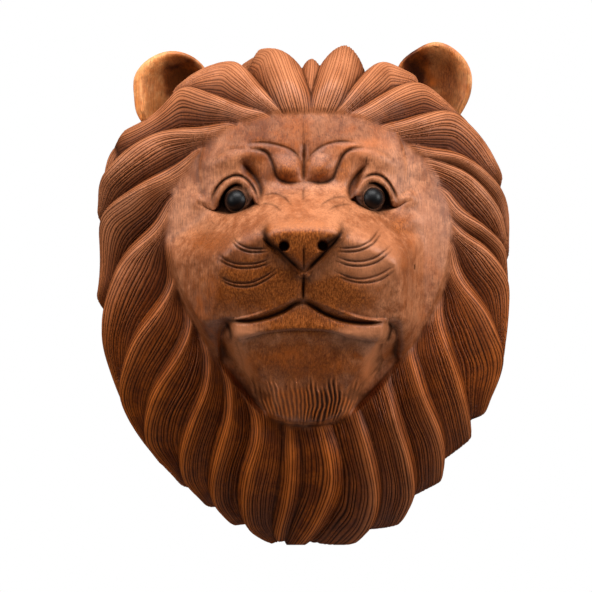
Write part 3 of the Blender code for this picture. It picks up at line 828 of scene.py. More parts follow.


# %% [markdown]
# ## Strokes of the tools
#
# Every line on the face is one stroke: a path on the paper, half its width, its depth, and
# how dark it is painted, partly stain and partly painted shade in the cut. A stroke is deepest
# in the middle and runs out at its ends, as a V-tool does when the hand goes down and up again.

# %% Strokes
# name, half width, depth, dark, path
STROKES = (
    ("frown", 1.5, 2.2, 0.8, (304, 144), (304, 160), (303.5, 183)),
    ("forehead crack", 0.7, 0.5, 0.4, (303.5, 119), (303, 130), (304, 144)),
    ("frown foot", 1.2, 1.2, 0.5, (304, 188), (303, 194), (303.5, 201)),
    ("left upper frown", 1.3, 1.5, 0.6, (248, 143), (266, 143), (284, 147), (295, 153),
     (303, 163)),
    ("left frown fold", 1.8, 2.8, 0.9, (250, 149), (260, 150), (268, 154), (273, 165), (277, 177),
     (284, 182), (294, 183), (303, 182)),
    ("right upper frown", 1.3, 1.5, 0.6, (306, 162), (313, 153), (323, 146), (337, 142),
     (356, 142)),
    ("right frown fold", 1.8, 2.8, 0.9, (364, 148), (352, 149), (343, 155), (337, 168), (332, 179),
     (322, 183), (312, 182), (304, 181)),
    ("left arch line", 1.6, 0.8, 0.25, (211, 162), (220, 154), (234, 149), (250, 149)),
    ("right arch line", 1.6, 0.8, 0.25, (364, 148), (376, 149), (388, 155), (398, 166)),
    ("left wrinkle high", 1.1, 1.2, 0.55, (261, 197), (268, 194), (277, 194), (285, 198),
     (292, 206)),
    ("left wrinkle low", 1.1, 1.2, 0.55, (261, 204), (269, 204), (275, 206), (281, 211)),
    ("right wrinkle high", 1.1, 1.2, 0.55, (349, 197), (339, 197), (329, 200), (320, 206)),
    ("right wrinkle low", 1.1, 1.2, 0.55, (350, 204), (341, 205), (334, 207), (328, 211)),
    ("small crack", 0.8, 1.0, 0.6, (367, 158), (366, 163), (367, 168)),
    ("left wing", 2.7, 6.0, 1.0, (266, 224), (264.5, 232), (267, 240), (273, 246), (280, 251),
     (288, 259), (296, 266), (304, 273)),
    ("right wing", 2.7, 6.0, 1.0, (341.5, 223), (342, 231), (338.5, 237), (333, 244), (326, 251),
     (318, 259), (310, 267), (304, 273)),
    ("nose middle", 1.1, 1.6, 0.7, (303.7, 246), (303.7, 258), (304, 272)),
    ("philtrum", 1.5, 3.0, 0.9, (304, 272), (303.5, 285), (303, 301)),
    ("left whisker 1a", 1.1, 1.6, 0.7, (233, 237), (239, 244), (248, 248), (258, 249),
     (267, 248.5)),
    ("left whisker 1b", 1.1, 1.6, 0.7, (231, 240), (238, 248), (248, 252), (257, 252.5),
     (266, 252)),
    ("left whisker 2a", 1.1, 1.6, 0.7, (217, 253), (226, 260), (238, 264), (252, 264), (262, 262),
     (270, 258)),
    ("left whisker 2b", 1.1, 1.6, 0.7, (217, 258), (226, 264), (238, 268), (252, 268), (262, 266),
     (271, 262)),
    ("left whisker 3a", 1.1, 1.6, 0.7, (216, 273), (224, 279), (236, 283), (250, 283), (264, 277),
     (278, 268)),
    ("left whisker 3b", 1.1, 1.6, 0.7, (220, 279), (228, 284), (240, 287), (253, 286), (266, 280),
     (279, 271)),
    ("right whisker 1a", 1.1, 1.6, 0.7, (338, 248), (350, 248), (361, 246), (371, 240),
     (379, 229)),
    ("right whisker 1b", 1.1, 1.6, 0.7, (337, 251.5), (350, 252), (362, 250), (373, 244),
     (381, 233)),
    ("right whisker 2a", 1.1, 1.6, 0.7, (337, 257), (350, 261), (364, 261), (378, 256),
     (390, 246)),
    ("right whisker 2b", 1.1, 1.6, 0.7, (336, 261), (349, 265.5), (364, 266), (379, 261),
     (392, 250)),
    ("right whisker 3a", 1.1, 1.5, 0.6, (335, 271), (348, 277), (362, 279), (378, 275),
     (394, 266)),
    ("right whisker 3b", 1.1, 1.5, 0.6, (337, 276), (350, 281), (364, 283), (380, 280),
     (394, 271)),
    ("left brow fold", 2.4, 3.4, 0.9, (242, 163), (250, 171), (257, 180), (261, 190), (260, 201)),
    ("right brow fold", 2.2, 3.4, 0.9, (367, 165), (359, 173), (352, 182), (349.5, 192),
     (353, 202)),
    ("left eye hollow", 3.6, 0.8, 0.6, (245, 166), (253, 174), (258.5, 184), (260, 196)),
    ("right eye hollow", 3.6, 0.9, 0.75, (363, 171), (357, 181), (353.5, 192), (356, 201)),
    ("left lid fold", 1.4, 3.0, 1.0, *LEFT_EYE.lid_fold),
    ("right lid fold", 1.4, 3.0, 1.0, *RIGHT_EYE.lid_fold),
    ("left mouth", 2.4, 5.5, 1.0, (304, 299), (294, 304), (283, 311), (268, 317), (250, 321),
     (232, 321), (222, 320)),
    ("right mouth", 2.4, 5.5, 1.0, (303, 299), (313, 306), (326, 314), (342, 320), (360, 323),
     (378, 323), (388, 321)),
    ("left mouth corner", 1.8, 4.0, 0.8, (224, 320), (229, 328), (232, 341)),
    ("right mouth corner", 1.8, 4.0, 0.9, (388, 321), (391, 329), (387, 343)),
    ("cheek nick", 0.8, 1.2, 0.9, (415, 264), (414.5, 267), (415, 270)),
)
STROKE_SPACING, STROKE_REACH, STROKE_ROUND, STROKE_END = 2.0, 4, 5, 0.25
DARK_WIDER = 1.25
NOSTRILS = ((284.0, 246.0, 5.6), (322.8, 245.8, 6.0))
NOSTRIL_DEPTH, NOSTRIL_EDGE = 11.0, (1.25, 0.55)
NOSTRIL_CHANNEL = ("nostril channel", 3.0, 4.0, 0.95, (326, 245), (332, 241), (339, 236))


def stroke_cut(half, along, aside):
    """A stroke's profile: full in the middle of its run, running out at both ends."""
    full = np.minimum(1, STROKE_ROUND * along * (1 - along) + STROKE_END)
    return np.exp(-((aside / half) ** 2)) * full


def cut_strokes(x, z):
    """Depth of all strokes together, and how dark they are painted: stain with painted shade in the
    cuts, and painted shade filling the nostrils.
    """
    points = np.stack([x, z], axis=1)
    cut, dark = np.zeros(len(x)), np.zeros(len(x))
    for _, half, deep, darkness, *places in STROKES + (NOSTRIL_CHANNEL,):
        path = smooth_path(on_pattern(places), STROKE_SPACING)
        near = close_to(path, points, STROKE_REACH * half)
        aside, along = nearest_on(path, points[near])
        cut[near] = np.maximum(cut[near], deep * stroke_cut(half, along, aside))
        # The dark of a stroke, stain with painted shade, spreads a little wider than its cut.
        wider = stroke_cut(DARK_WIDER * half, along, aside)
        dark[near] = np.maximum(dark[near], darkness * wider)
    # The nostrils are painted fully dark: painted shade inside the holes.
    for px, py, radius in NOSTRILS:
        middle = on_pattern([(px, py)])[0]
        out = np.hypot(x - middle[0], z - middle[1]) / radius
        hole = smooth_step(*NOSTRIL_EDGE, out)
        cut, dark = np.maximum(cut, NOSTRIL_DEPTH * hole), np.maximum(dark, hole)
    return cut, dark


# %% [markdown]
# The beard is a fan of short strokes under the chin. They repeat evenly, so they are worked
# out and not drawn: each place knows its stroke by its place across, and the strokes draw
# together towards the point of the beard.

# %% The beard
BEARD_TOP, BEARD_FOOT, BEARD_MIDDLE = 386.0, 424.0, 308.0
BEARD_WIDE, BEARD_NARROWS, BEARD_SIDE = 1.12, 0.30, (56, 46)
BEARD_UPPER_EDGE, BEARD_LOWER_EDGE = (-0.18, 0.16), (1.14, 0.84)
BEARD_PITCH, BEARD_WAVE, BEARD_RIPPLE = 4.1, (0.75, 17.0), (0.15, 6.0)
WAVE_DRAWN_OUT = 0.7
RAGGED_STROKES, RAGGED_RHYTHM, RAGGED_EDGE = 0.16, 7.7, (0.08, 5.0)
BEARD_LINE_POWER, BEARD_STRENGTH, BEARD_RHYTHM = 0.7, (0.75, 0.25), 12.9


def beard(x, z):
    """How much of the beard there is at a place, and how deep its strokes are there."""
    px, py = x + PAPER_ZERO[0], PAPER_ZERO[1] - z
    down = (py - BEARD_TOP) / (BEARD_FOOT - BEARD_TOP)
    off = (px - BEARD_MIDDLE) / (BEARD_WIDE - BEARD_NARROWS * down)
    wave = BEARD_WAVE[0] * waviness(off, WAVE_DRAWN_OUT * z, BEARD_WAVE[1])
    phase = off / BEARD_PITCH + wave + BEARD_RIPPLE[0] * waviness(z, off, BEARD_RIPPLE[1])
    stroke = np.round(phase)
    ragged = down + RAGGED_STROKES * np.sin(RAGGED_RHYTHM * stroke)
    ragged = ragged + RAGGED_EDGE[0] * waviness(off, 0 * off, RAGGED_EDGE[1])
    here = smooth_step(*BEARD_UPPER_EDGE, ragged) * smooth_step(*BEARD_LOWER_EDGE, ragged)
    here = here * smooth_step(*BEARD_SIDE, np.abs(off))
    strength = BEARD_STRENGTH[0] + BEARD_STRENGTH[1] * np.sin(BEARD_RHYTHM * stroke)
    return here, groove_line(phase, BEARD_LINE_POWER) * strength


# %% Depth of the whole face
LIP_EDGE = (
    (232, 341), (240, 338.5), (258, 333), (280, 329.5), (303, 328.5), (328, 330), (350, 336),
    (370, 340), (387, 342.5),
)
LIP_EDGE_SPACING, LIP_EDGE_ENDS = 3.0, 0.03
CHIN_STEP, CHIN_REACH, CHIN_STEP_AT, CHIN_FADES = 5.0, 40.0, (-0.8, 2.5), (40, 12)
BEARD_SWELL, BEARD_STROKE_DEPTH, BEARD_DARK = 1.6, 1.6, 0.95
HAND_WAVES = ((0.35, 14), (0.15, 5))


def face_depth(x, z):
    """Depth of the whole face at places of the front view, and how dark its cuts are."""
    depth = masses(x, z) + swellings(x, z)
    depth, sockets = carve_eyes(x, z, depth)
    cut, dark = cut_strokes(x, z)
    points = np.stack([x, z], axis=1)
    edge = smooth_path(on_pattern(LIP_EDGE), LIP_EDGE_SPACING)
    near = close_to(edge, points, CHIN_REACH)
    aside, along = nearest_on(edge, points[near])
    ends = smooth_step(0, LIP_EDGE_ENDS, along) * smooth_step(1, 1 - LIP_EDGE_ENDS, along)
    step = CHIN_STEP * smooth_step(*CHIN_STEP_AT, -aside) * smooth_step(*CHIN_FADES, -aside)
    depth[near] -= step * ends
    here, line = beard(x, z)
    depth = depth + here * (BEARD_SWELL - BEARD_STROKE_DEPTH * line)
    for height, size in HAND_WAVES:
        depth = depth + height * waviness(x, z, size)
    # The dark of cuts, sockets and beard lines is partly stain and partly painted shade.
    return depth - cut, np.maximum(np.maximum(dark, sockets), BEARD_DARK * here * line)


# %% [markdown]
# ## One surface from the wall to the nose
#
# A flat grid is wrapped round: its middle becomes the middle of the face and its border the
# edge of the flat back. The wrap keeps the squares of the grid much the same size all over,
# so the hair is as finely cut at the sides as in front. Then every vertex is moved once, to
# its place on the dome, on the locks or on the face.

# %% Wrap a square grid into a round one
GRID_STEPS = 820
HAIRLINE_BLEND = 3.5
LIFT_REACH, LIFT_TURNS, LIFT_FADE = 36.0, (-0.35, 0.35), 0.2
HAIR_ROOT, ROOT_LOWER_ABOVE, ROOTED_AT = 0.35, 0.30, (-2, 32)
AT_WALL, FROM_WALL, FULL_FROM_WALL_AT = 0.25, 0.75, (0, 30)
GROOVE_DEPTH, EDGE_DEEPER, DEEPER_AT = 1.2, 1.0, (80, 40)
GROOVE_FADE = (-2.0, 8.0)
UNDER_HAIR, UNDERCUT, UNDER_BLEND = 1.0, 9.0, 14.0


def round_from_square(x, y):
    """Turn and share of the way out for a place of the square from -1 to 1."""
    wide = np.abs(x) > np.abs(y)
    big = np.where(wide, x, y)
    small = np.where(wide, y, x)
    lean = np.where(big == 0, 0.0, small / np.where(big == 0, 1.0, big)) * math.pi / 4
    turn = np.where(wide, lean, QUARTER - lean) + np.where(big < 0, math.pi, 0.0)
    return turn, np.abs(big)


def skull_lift(turn, bend):
    """How far forward the skull carries the roots of the hair, past the edge of the face."""
    radius, depth = dome(turn, bend, 0.0)
    under = masses(MIDDLE[0] + radius * np.cos(turn), MIDDLE[1] + radius * np.sin(turn)) - depth
    past = radius - around_clock(FACE_RADII, turn)
    in_front = smooth_step(QUARTER, QUARTER - LIFT_FADE, bend)
    near_face = smooth_step(LIFT_REACH, 0, past) * smooth_step(*LIFT_TURNS, np.sin(turn))
    return np.maximum(under, 0) * near_face * in_front


def carve(turn, share):
    """Pattern places and depths of the whole front, by turn and share of the skin."""
    bend = read_table(SKIN_BEND, turn, share)
    skin = skin_place(turn, bend)
    flat_radius, _ = dome(turn, bend, 0.0)
    edge = around_clock(FACE_RADII, turn)
    mane = comb_mane(skin)
    past = np.hypot(*skin.T) - edge
    hair = smooth_step(-HAIRLINE_BLEND, HAIRLINE_BLEND, flat_radius - edge)
    to_wall = read_table(SKIN_LENGTH, turn, np.ones_like(turn)) - np.hypot(*skin.T)
    rooted = HAIR_ROOT - ROOT_LOWER_ABOVE * smooth_step(*LIFT_TURNS, np.sin(turn))
    root = rooted + (1 - rooted) * smooth_step(*ROOTED_AT, past)
    height = mane.height * root * (AT_WALL + FROM_WALL * smooth_step(*FULL_FROM_WALL_AT, to_wall))
    cut_in = GROOVE_DEPTH * (1 + EDGE_DEEPER * smooth_step(*DEEPER_AT, to_wall))
    height = height - cut_in * groove_depth(mane) * smooth_step(*GROOVE_FADE, past)
    radius, depth = dome(turn, bend, height * hair)
    depth = depth + skull_lift(turn, bend)
    x = MIDDLE[0] + radius * np.cos(turn)
    z = MIDDLE[1] + radius * np.sin(turn)
    front = np.flatnonzero(flat_radius < edge + 2 * HAIRLINE_BLEND)
    face, _ = face_depth(x[front], z[front])
    _, below = dome(turn[front], bend[front], 0.0)
    lower = 0.5 - 0.5 * np.sin(turn[front])
    face = soft_max(face, below - UNDER_HAIR - UNDERCUT * lower, UNDER_BLEND)
    depth[front] = depth[front] * hair[front] + face * (1 - hair[front])
    return x, np.maximum(z, FLAT_BOTTOM), np.maximum(depth, 0.0)


# %% [markdown]
# The grid's border is a ring near the plane of the wall, a little short of it where a lock
# is low. It is put into the plane first, or the back would be pleated. The back is then
# closed by drawing the ring inwards and filling the last small hole.

# %% Make the block
CLOSING_RINGS, CLOSING_SHARE = 3, 0.45


def mesh_points(mesh):
    points = np.empty(3 * len(mesh.vertices))
    mesh.vertices.foreach_get("co", points)
    return points.reshape(-1, 3)


def mesh_from(bm, name):
    """A mesh with what was built in it."""
    mesh = bpy.data.meshes.new(name)
    bm.to_mesh(mesh)
    bm.free()
    return mesh


def close_back(mesh):
    bm = bmesh.new()
    bm.from_mesh(mesh)
    middle = Vector((MIDDLE[0] * MM, 0.0, MIDDLE[1] * MM))
    ring = [edge for edge in bm.edges if edge.is_boundary]
    short = max(-vert.co.y for edge in ring for vert in edge.verts) / MM
    print("the border stops at most", round(short, 2), "mm short of the wall, and is drawn to it")
    for edge in ring:
        for vert in edge.verts:
            vert.co.y = 0.0
    for _ in range(CLOSING_RINGS):
        made = bmesh.ops.extrude_edge_only(bm, edges=ring)["geom"]
        ring = [item for item in made if isinstance(item, bmesh.types.BMEdge)]
        for vert in (item for item in made if isinstance(item, bmesh.types.BMVert)):
            vert.co = middle + (vert.co - middle) * CLOSING_SHARE
    bmesh.ops.holes_fill(bm, edges=ring)
    bmesh.ops.recalc_face_normals(bm, faces=bm.faces)
    bm.to_mesh(mesh)
    bm.free()


def make_block():
    bm = bmesh.new()
    bmesh.ops.create_grid(bm, x_segments=GRID_STEPS, y_segments=GRID_STEPS, size=1.0)
    mesh = mesh_from(bm, "carved_block")
    flat = mesh_points(mesh)
    turn, share = round_from_square(flat[:, 0], flat[:, 1])
    mesh.vertices.foreach_set("co", to_world(*carve(turn, share)).ravel())
    close_back(mesh)
    return mesh


block = make_block()
print("block:", len(block.vertices), "vertices before it is thinned")

# %% [markdown]
# ## Ears
#
# The ears are thin cups that stand up behind the mane. Each starts as a ball seen from its
# pole. The near half is pressed in to make the cup and rolled forward at the rim, and the far
# half is the round back. A clock of radii gives the outline that the photograph shows, and
# the deepest point is moved towards the head, because the outer wall slopes more gently.

# %% Model the ears
Ear = namedtuple("Ear", "name place radii cup_shift side")
LEFT_EAR = Ear("left_ear", place=(172.0, 96.0), cup_shift=(20.0, 2.0), side=-1,
               radii=(40, 43, 44.5, 45, 44, 43, 38.5, 40, 41, 42, 42, 41))
RIGHT_EAR = Ear("right_ear", place=(437.0, 88.0), cup_shift=(-20.0, 2.0), side=1,
                radii=(35, 38.5, 42, 46, 44, 45, 43, 41, 40, 40, 37, 34))
EAR_DEPTH, EAR_SEGMENTS, EAR_RINGS = 62.0, 112, 84
EAR_CUP, EAR_CUP_POWER = 15.0, 1.7
EAR_RIM_ROLL, EAR_RIM_ROLL_POWER = 4.0, 6
EAR_WALL, EAR_WALL_POWER, EAR_BACK_SWELL = 15.0, 6, 17.0
EAR_TURN_IN = math.radians(10)


def make_ear(ear):
    bm = bmesh.new()
    bmesh.ops.create_uvsphere(bm, u_segments=EAR_SEGMENTS, v_segments=EAR_RINGS, radius=1.0)
    bmesh.ops.rotate(bm, verts=bm.verts, matrix=Matrix.Rotation(math.pi / 2, 3, "X"))
    mesh = mesh_from(bm, ear.name)
    ball = mesh_points(mesh)
    out = np.minimum(np.hypot(ball[:, 0], ball[:, 2]), 1.0)
    turn = np.arctan2(ball[:, 2], ball[:, 0])
    reach = out * around_clock(ear.radii, turn)
    rim_roll = EAR_RIM_ROLL * np.sin(math.pi * out**EAR_RIM_ROLL_POWER)
    cup = EAR_CUP * (1 - out**EAR_CUP_POWER) - rim_roll
    shell = EAR_WALL * (1 - out**EAR_WALL_POWER) + EAR_BACK_SWELL * ball[:, 1]
    front = ball[:, 1] < 0
    back = np.where(front, cup, np.maximum(shell, 0))
    x = reach * np.cos(turn) + ear.cup_shift[0] * (1 - out) * front
    z = reach * np.sin(turn) + ear.cup_shift[1] * (1 - out) * front
    sin, cos = math.sin(EAR_TURN_IN * ear.side), math.cos(EAR_TURN_IN)
    x, back = x * cos + back * sin, back * cos - x * sin
    middle = on_pattern([ear.place])[0]
    places = to_world(middle[0] + x, middle[1] + z, EAR_DEPTH - back)
    mesh.vertices.foreach_set("co", places.ravel())
    return mesh


# %% [markdown]
# The two black beads sit in turned seats, and a nail hole goes into the back. Their sizes
# and places repeat the frame's, because the beads are separate pieces that must fit.

# %% Seats and nail hole
SEAT_CLEARANCE = 0.3
SEAT_RING, SEAT_RING_THICK, SEAT_RING_SIDES = 11.2, 0.6, 10
NAIL_HOLE_RADIUS, NAIL_HOLE_DEPTH, NAIL_HOLE_UP = 5.5, 25.0, 130.0
ROUND_SEGMENTS, SAME_PLACE = 64, 1e-6


def bead_frame(eye):
    """Where a bead's dome starts, with its +Z looking out of the head."""
    side = math.copysign(1, eye.bead[0])
    look = Vector((math.sin(BEAD_TURN_OUT) * side, -math.cos(BEAD_TURN_OUT), 0.0))
    place = Vector((eye.bead[0], -BEAD_DEPTH, eye.bead[1])) * MM
    return Matrix.Translation(place) @ look.to_track_quat("Z", "Y").to_matrix().to_4x4()


def round_tool(name, radius, low, high, place):
    """A cylinder from low to high along the place's Z, in millimetres."""
    bm = bmesh.new()
    middle = Matrix.Translation((0, 0, (low + high) / 2 * MM))
    bmesh.ops.create_cone(
        bm, cap_ends=True, segments=ROUND_SEGMENTS, radius1=radius * MM, radius2=radius * MM,
        depth=(high - low) * MM, matrix=place @ middle,
    )
    return mesh_from(bm, name)


def spin_at_eye(bm, section, eye, name):
    """A section spun round its axis, and set into its place at an eye."""
    bmesh.ops.spin(
        bm, geom=section, cent=(0, 0, 0), axis=(0, 0, 1), angle=math.tau, steps=ROUND_SEGMENTS,
        use_merge=True,
    )
    bmesh.ops.remove_doubles(bm, verts=bm.verts, dist=SAME_PLACE)
    bmesh.ops.recalc_face_normals(bm, faces=bm.faces)
    bmesh.ops.transform(bm, matrix=bead_frame(eye), verts=bm.verts)
    return mesh_from(bm, name)


def seat_ring(name, eye):
    """The narrow raised ring that the carver left round each bead: a small circle, spun round."""
    bm = bmesh.new()
    upright = Matrix.Translation((SEAT_RING * MM, 0, 0)) @ Matrix.Rotation(QUARTER, 4, "X")
    made = bmesh.ops.create_circle(
        bm, segments=SEAT_RING_SIDES, radius=SEAT_RING_THICK * MM, matrix=upright,
    )
    return spin_at_eye(bm, made["verts"] + list(bm.edges), eye, name)


# %% [markdown]
# The ears are joined to the head and the holes are cut with Boolean modifiers. The block is
# closed and so is every tool, so the fast Manifold solver can be used. Each tool carries a
# material of its own in another slot, and the faces that it leaves behind keep that slot:
# that is how the script still knows the ears and the seats afterwards.

# %% Join, cut and thin
WOOD, EAR_WOOD, BACK_WOOD, SEAT_WOOD = range(4)
SLOT_NAMES = ("carved_wood", "ear_wood", "sawn_back", "eye_seat")
FINISHES = [bpy.data.materials.new(name) for name in SLOT_NAMES]
MOST_TRIANGLES = 196000
SEAT_REACH = 3 * BEAD_DOME
BACK_SNAP, FACES_BACK, IN_WALL_PLANE, LEVEL = 2.5, 0.5, -1e-7, 0.99
SHARP_ANGLE = math.radians(50)


def add_object(name, mesh):
    made = bpy.data.objects.new(name, mesh)
    bpy.context.scene.collection.objects.link(made)
    return made


def wear_slot(mesh, slot):
    """Gives a mesh all the finishes, and all its faces one of them."""
    mesh.materials.clear()
    for finish in FINISHES:
        mesh.materials.append(finish)
    mesh.polygons.foreach_set("material_index", np.full(len(mesh.polygons), slot, dtype=np.int32))
    return mesh


def applied(obj):
    """The object's mesh with its modifiers applied."""
    graph = bpy.context.evaluated_depsgraph_get()
    mesh = bpy.data.meshes.new_from_object(obj.evaluated_get(graph), depsgraph=graph)
    obj.modifiers.clear()
    return mesh


def triangles(mesh):
    return sum(len(polygon.vertices) - 2 for polygon in mesh.polygons)


def join_and_cut(head):
    tools = [(wear_slot(make_ear(ear), EAR_WOOD), "UNION") for ear in (LEFT_EAR, RIGHT_EAR)]
    for number, eye in enumerate(EYES):
        tools.append((wear_slot(seat_ring(f"ring_{number}", eye), SEAT_WOOD), "UNION"))
        low, wide = -BEAD_SHANK - SEAT_CLEARANCE, BEAD_RADIUS + SEAT_CLEARANCE
        seat = round_tool(f"seat_{number}", wide, low, SEAT_REACH, bead_frame(eye))
        tools.append((wear_slot(seat, SEAT_WOOD), "DIFFERENCE"))
    into_back = Matrix.Translation((0, 0, NAIL_HOLE_UP * MM)) @ Matrix.Rotation(QUARTER, 4, "X")
    nail = round_tool("nail_hole", NAIL_HOLE_RADIUS, -NAIL_HOLE_DEPTH, NAIL_HOLE_DEPTH, into_back)
    tools.append((wear_slot(nail, BACK_WOOD), "DIFFERENCE"))
    helpers = []
    for mesh, operation in tools:
        helper = add_object(f"{mesh.name}_tool", mesh)
        step = head.modifiers.new(mesh.name, "BOOLEAN")
        step.solver, step.operation, step.object = "MANIFOLD", operation, helper
        helpers.append(helper)
    head.data = applied(head)
    for helper in helpers:
        bpy.data.meshes.remove(helper.data)


def thin(head):
    """Fewer triangles, with the long thin ones that are left lying along the grooves."""
    count = triangles(head.data)
    step = head.modifiers.new("thin", "DECIMATE")
    step.ratio = min(1.0, MOST_TRIANGLES / count)
    step.use_collapse_triangulate = True
    head.data = applied(head)
    print("thinned from", count, "to", triangles(head.data), "triangles")


def flatten_back(mesh):
    """Thinning moves the edge of the back a little out of the wall plane; this puts it back."""
    places = mesh_points(mesh)
    on_back = np.zeros(len(places), dtype=bool)
    for polygon in mesh.polygons:
        if polygon.material_index == BACK_WOOD and polygon.normal.y > FACES_BACK:
            on_back[list(polygon.vertices)] = True
    on_back &= np.abs(places[:, 1]) < BACK_SNAP * MM
    off = float(np.abs(places[on_back, 1]).max()) / MM
    places[on_back, 1] = 0.0
    mesh.vertices.foreach_set("co", places.ravel())
    mesh.update()
    print("points of the back put into the wall plane:", int(on_back.sum()))
    print("they were at most", round(off, 2), "mm off it")


wear_slot(block, WOOD)
lowest = np.array([min(block.vertices[i].co.y for i in p.vertices) for p in block.polygons])
in_plane = np.where(lowest > IN_WALL_PLANE, BACK_WOOD, WOOD).astype(np.int32)
block.polygons.foreach_set("material_index", in_plane)
head = add_object("carved_wood_head", block)
join_and_cut(head)
thin(head)
flatten_back(head.data)
smooth = [p.material_index != BACK_WOOD or p.normal.y < LEVEL for p in head.data.polygons]
head.data.polygons.foreach_set("use_smooth", smooth)
head.data.set_sharp_from_angle(angle=SHARP_ANGLE)

# %% [markdown]
# ## What the finish needs to know
#
# The finish follows the carving: stain and painted shade in the grooves, wax and painted
# highlights on the ridges, plain wood on the back. So every vertex is asked again where it lies
# on the pattern. Its turn round the clock can be read off directly, and the bend of the dome
# below it is found in a few steps of Newton's method, since the locks stand out along the
# dome's own outward direction.

# %% Find the pattern again
LIFT_ROUNDS, NEWTON_ROUNDS = 6, 10
SMOOTH_KEEPS, SMOOTH_TAKES = 0.4, 0.6


def bend_below(turn, radius, depth):
    """The bend of the dome under a place that stands out from it."""
    outline, rise = around_clock(OUTLINE_RADII, turn), dome_rise(turn, depth < RIM_DEPTH)
    up = depth - RIM_DEPTH
    bend = np.arctan2(radius / outline, up / rise)
    squash = rise / outline - outline / rise
    for _ in range(NEWTON_ROUNDS):
        sin, cos = np.sin(bend), np.cos(bend)
        off = radius * cos / rise - up * sin / outline + squash * sin * cos
        slope = -radius * sin / rise - up * cos / outline + squash * (cos * cos - sin * sin)
        bend = np.clip(bend - off / np.where(np.abs(slope) < TINY, TINY, slope), 0, LAST_BEND)
    return bend


def corners_of(mesh):
    """The vertices of each triangle."""
    corner = np.empty(len(mesh.loops), dtype=np.int32)
    mesh.loops.foreach_get("vertex_index", corner)
    return corner.reshape(-1, 3)


def slot_of_vertices(mesh, slot):
    """1 for the vertices of faces with that finish, else 0."""
    of_polygon = np.empty(len(mesh.polygons), dtype=np.int32)
    mesh.polygons.foreach_get("material_index", of_polygon)
    found = np.zeros(len(mesh.vertices))
    found[corners_of(mesh)[of_polygon == slot].ravel()] = 1.0
    return found


def broad_hollows(mesh, points, rounds):
    """How far each place lies below the smoothed surface round it, in millimetres."""
    ends = np.empty(2 * len(mesh.edges), dtype=np.int32)
    mesh.edges.foreach_get("vertices", ends)
    one, other = ends.reshape(-1, 2).T
    size = len(points)
    count = np.bincount(np.concatenate([one, other]), minlength=size)[:, None]
    smooth = points.copy()
    for _ in range(rounds):
        total = np.stack([
            np.bincount(one, smooth[other, i], size) + np.bincount(other, smooth[one, i], size)
            for i in range(3)
        ], axis=1)
        smooth = SMOOTH_KEEPS * smooth + SMOOTH_TAKES * total / count
    normals = np.empty(3 * size, dtype=np.float32)
    mesh.vertex_normals.foreach_get("vector", normals)
    return np.einsum("ij,ij->i", smooth - points, normals.reshape(-1, 3)) / MM


# %% Patches of tone, painted shade and painted highlight, drawn on the paper
PATCH_EDGE, PATCH_WAVE = (1.5, 0.4), (0.25, 6.0)


def in_places(x, z, places):
    """Soft patches: each has a middle on the paper, two half sizes, a turn and a strength."""
    found = np.zeros(len(x))
    for place, half, turn, strength in places:
        out = np.hypot(*half_sizes_off(x, z, place, half, turn))
        wavy = out + PATCH_WAVE[0] * waviness(x, z, PATCH_WAVE[1])
        found = np.maximum(found, strength * smooth_step(*PATCH_EDGE, wavy))
    return found


# middle on the paper, half sizes, turn in degrees, strength
# Golden is the wood's own deeper tone on the muzzle, nose, chin and right ear; the small patches on
# the frown pads, the inner eye hollows, the left cheek hollow and under the right cheek bump are
# painted shade.
GOLDEN_PLACES = (
    ((262, 286), (56, 27), 0, 1.2), ((333, 292), (44, 20), 0, 1.1), ((303, 244), (40, 22), 0, 1.2),
    ((303, 320), (62, 15), 0, 1.2), ((350, 268), (44, 24), 0, 0.45),
    ((300, 360), (62, 26), 0, 0.8), ((446, 84), (14, 36), 0, 0.9), ((404, 227), (13, 8), 0, 0.7),
    ((205, 240), (14, 12), 0, 0.5), ((166, 112), (14, 14), 0, 0.7), ((287, 169), (15, 12), 0, 0.6),
    ((320, 168), (15, 12), 0, 0.6), ((259, 168), (8, 13), 20, 0.5),
    ((345, 170), (8, 13), -20, 0.6),
)
# The ear cups are painted dark, partly stain and partly painted shade in the hollow of the cup; the
# last two shades also give the right ear's rim and the whole right ear their own deeper tone.
EAR_CUPS = (((181, 82), (19, 24), 0, 0.85), ((416, 74), (15, 24), 0, 0.85))
EAR_SHADES = (
    ((185, 82), (22, 28), 0, 2.0), ((168, 112), (8, 14), 0, 0.8), ((415, 74), (19, 30), 0, 2.0),
    ((464, 90), (8, 26), 0, 1.0), ((444, 84), (40, 50), 0, 0.5),
)
# Places painted darker: mostly painted shade in hollows, under the frown pads, lip and beard, in
# the eye and mouth corners and on the muzzle's right wall, with some stain.
SHADE_AND_STAIN_PLACES = (
    ((249, 173), (6, 13), 32, 1.3), ((355, 183), (5, 15), -25, 1.2), ((288, 179), (13, 5), 0, 1.3),
    ((320, 178), (13, 5), 0, 1.3), ((206, 240), (10, 9), 0, 0.5), ((216, 344), (13, 36), 22, 1.0),
    ((200, 306), (9, 22), 20, 0.9), ((392, 362), (10, 34), -24, 0.6),
    ((238, 306), (26, 9), 0, 0.5), ((300, 362), (52, 18), 0, 0.8), ((232, 380), (16, 20), 30, 0.9),
    ((376, 402), (10, 16), -30, 0.7), ((224, 325), (6, 10), 0, 0.9),
    ((303, 205), (26, 12), 0, 0.25), ((205, 150), (16, 8), 35, 0.4), ((336, 353), (4, 4), 0, 1.2),
    ((356, 356), (4, 4), 0, 1.2), ((303, 134), (100, 24), 0, 0.75), ((358, 199), (5, 6), 0, 1.2),
    ((254, 200), (5, 6), 0, 1.0), ((409, 268), (7, 36), 0, 0.55), ((430, 278), (14, 24), 0, 0.4),
    ((306, 404), (52, 20), 0, 0.9), ((303, 262), (20, 12), 0, 0.6), ((214, 296), (10, 20), 0, 0.6),
    ((425, 330), (14, 34), -20, 0.45),
)
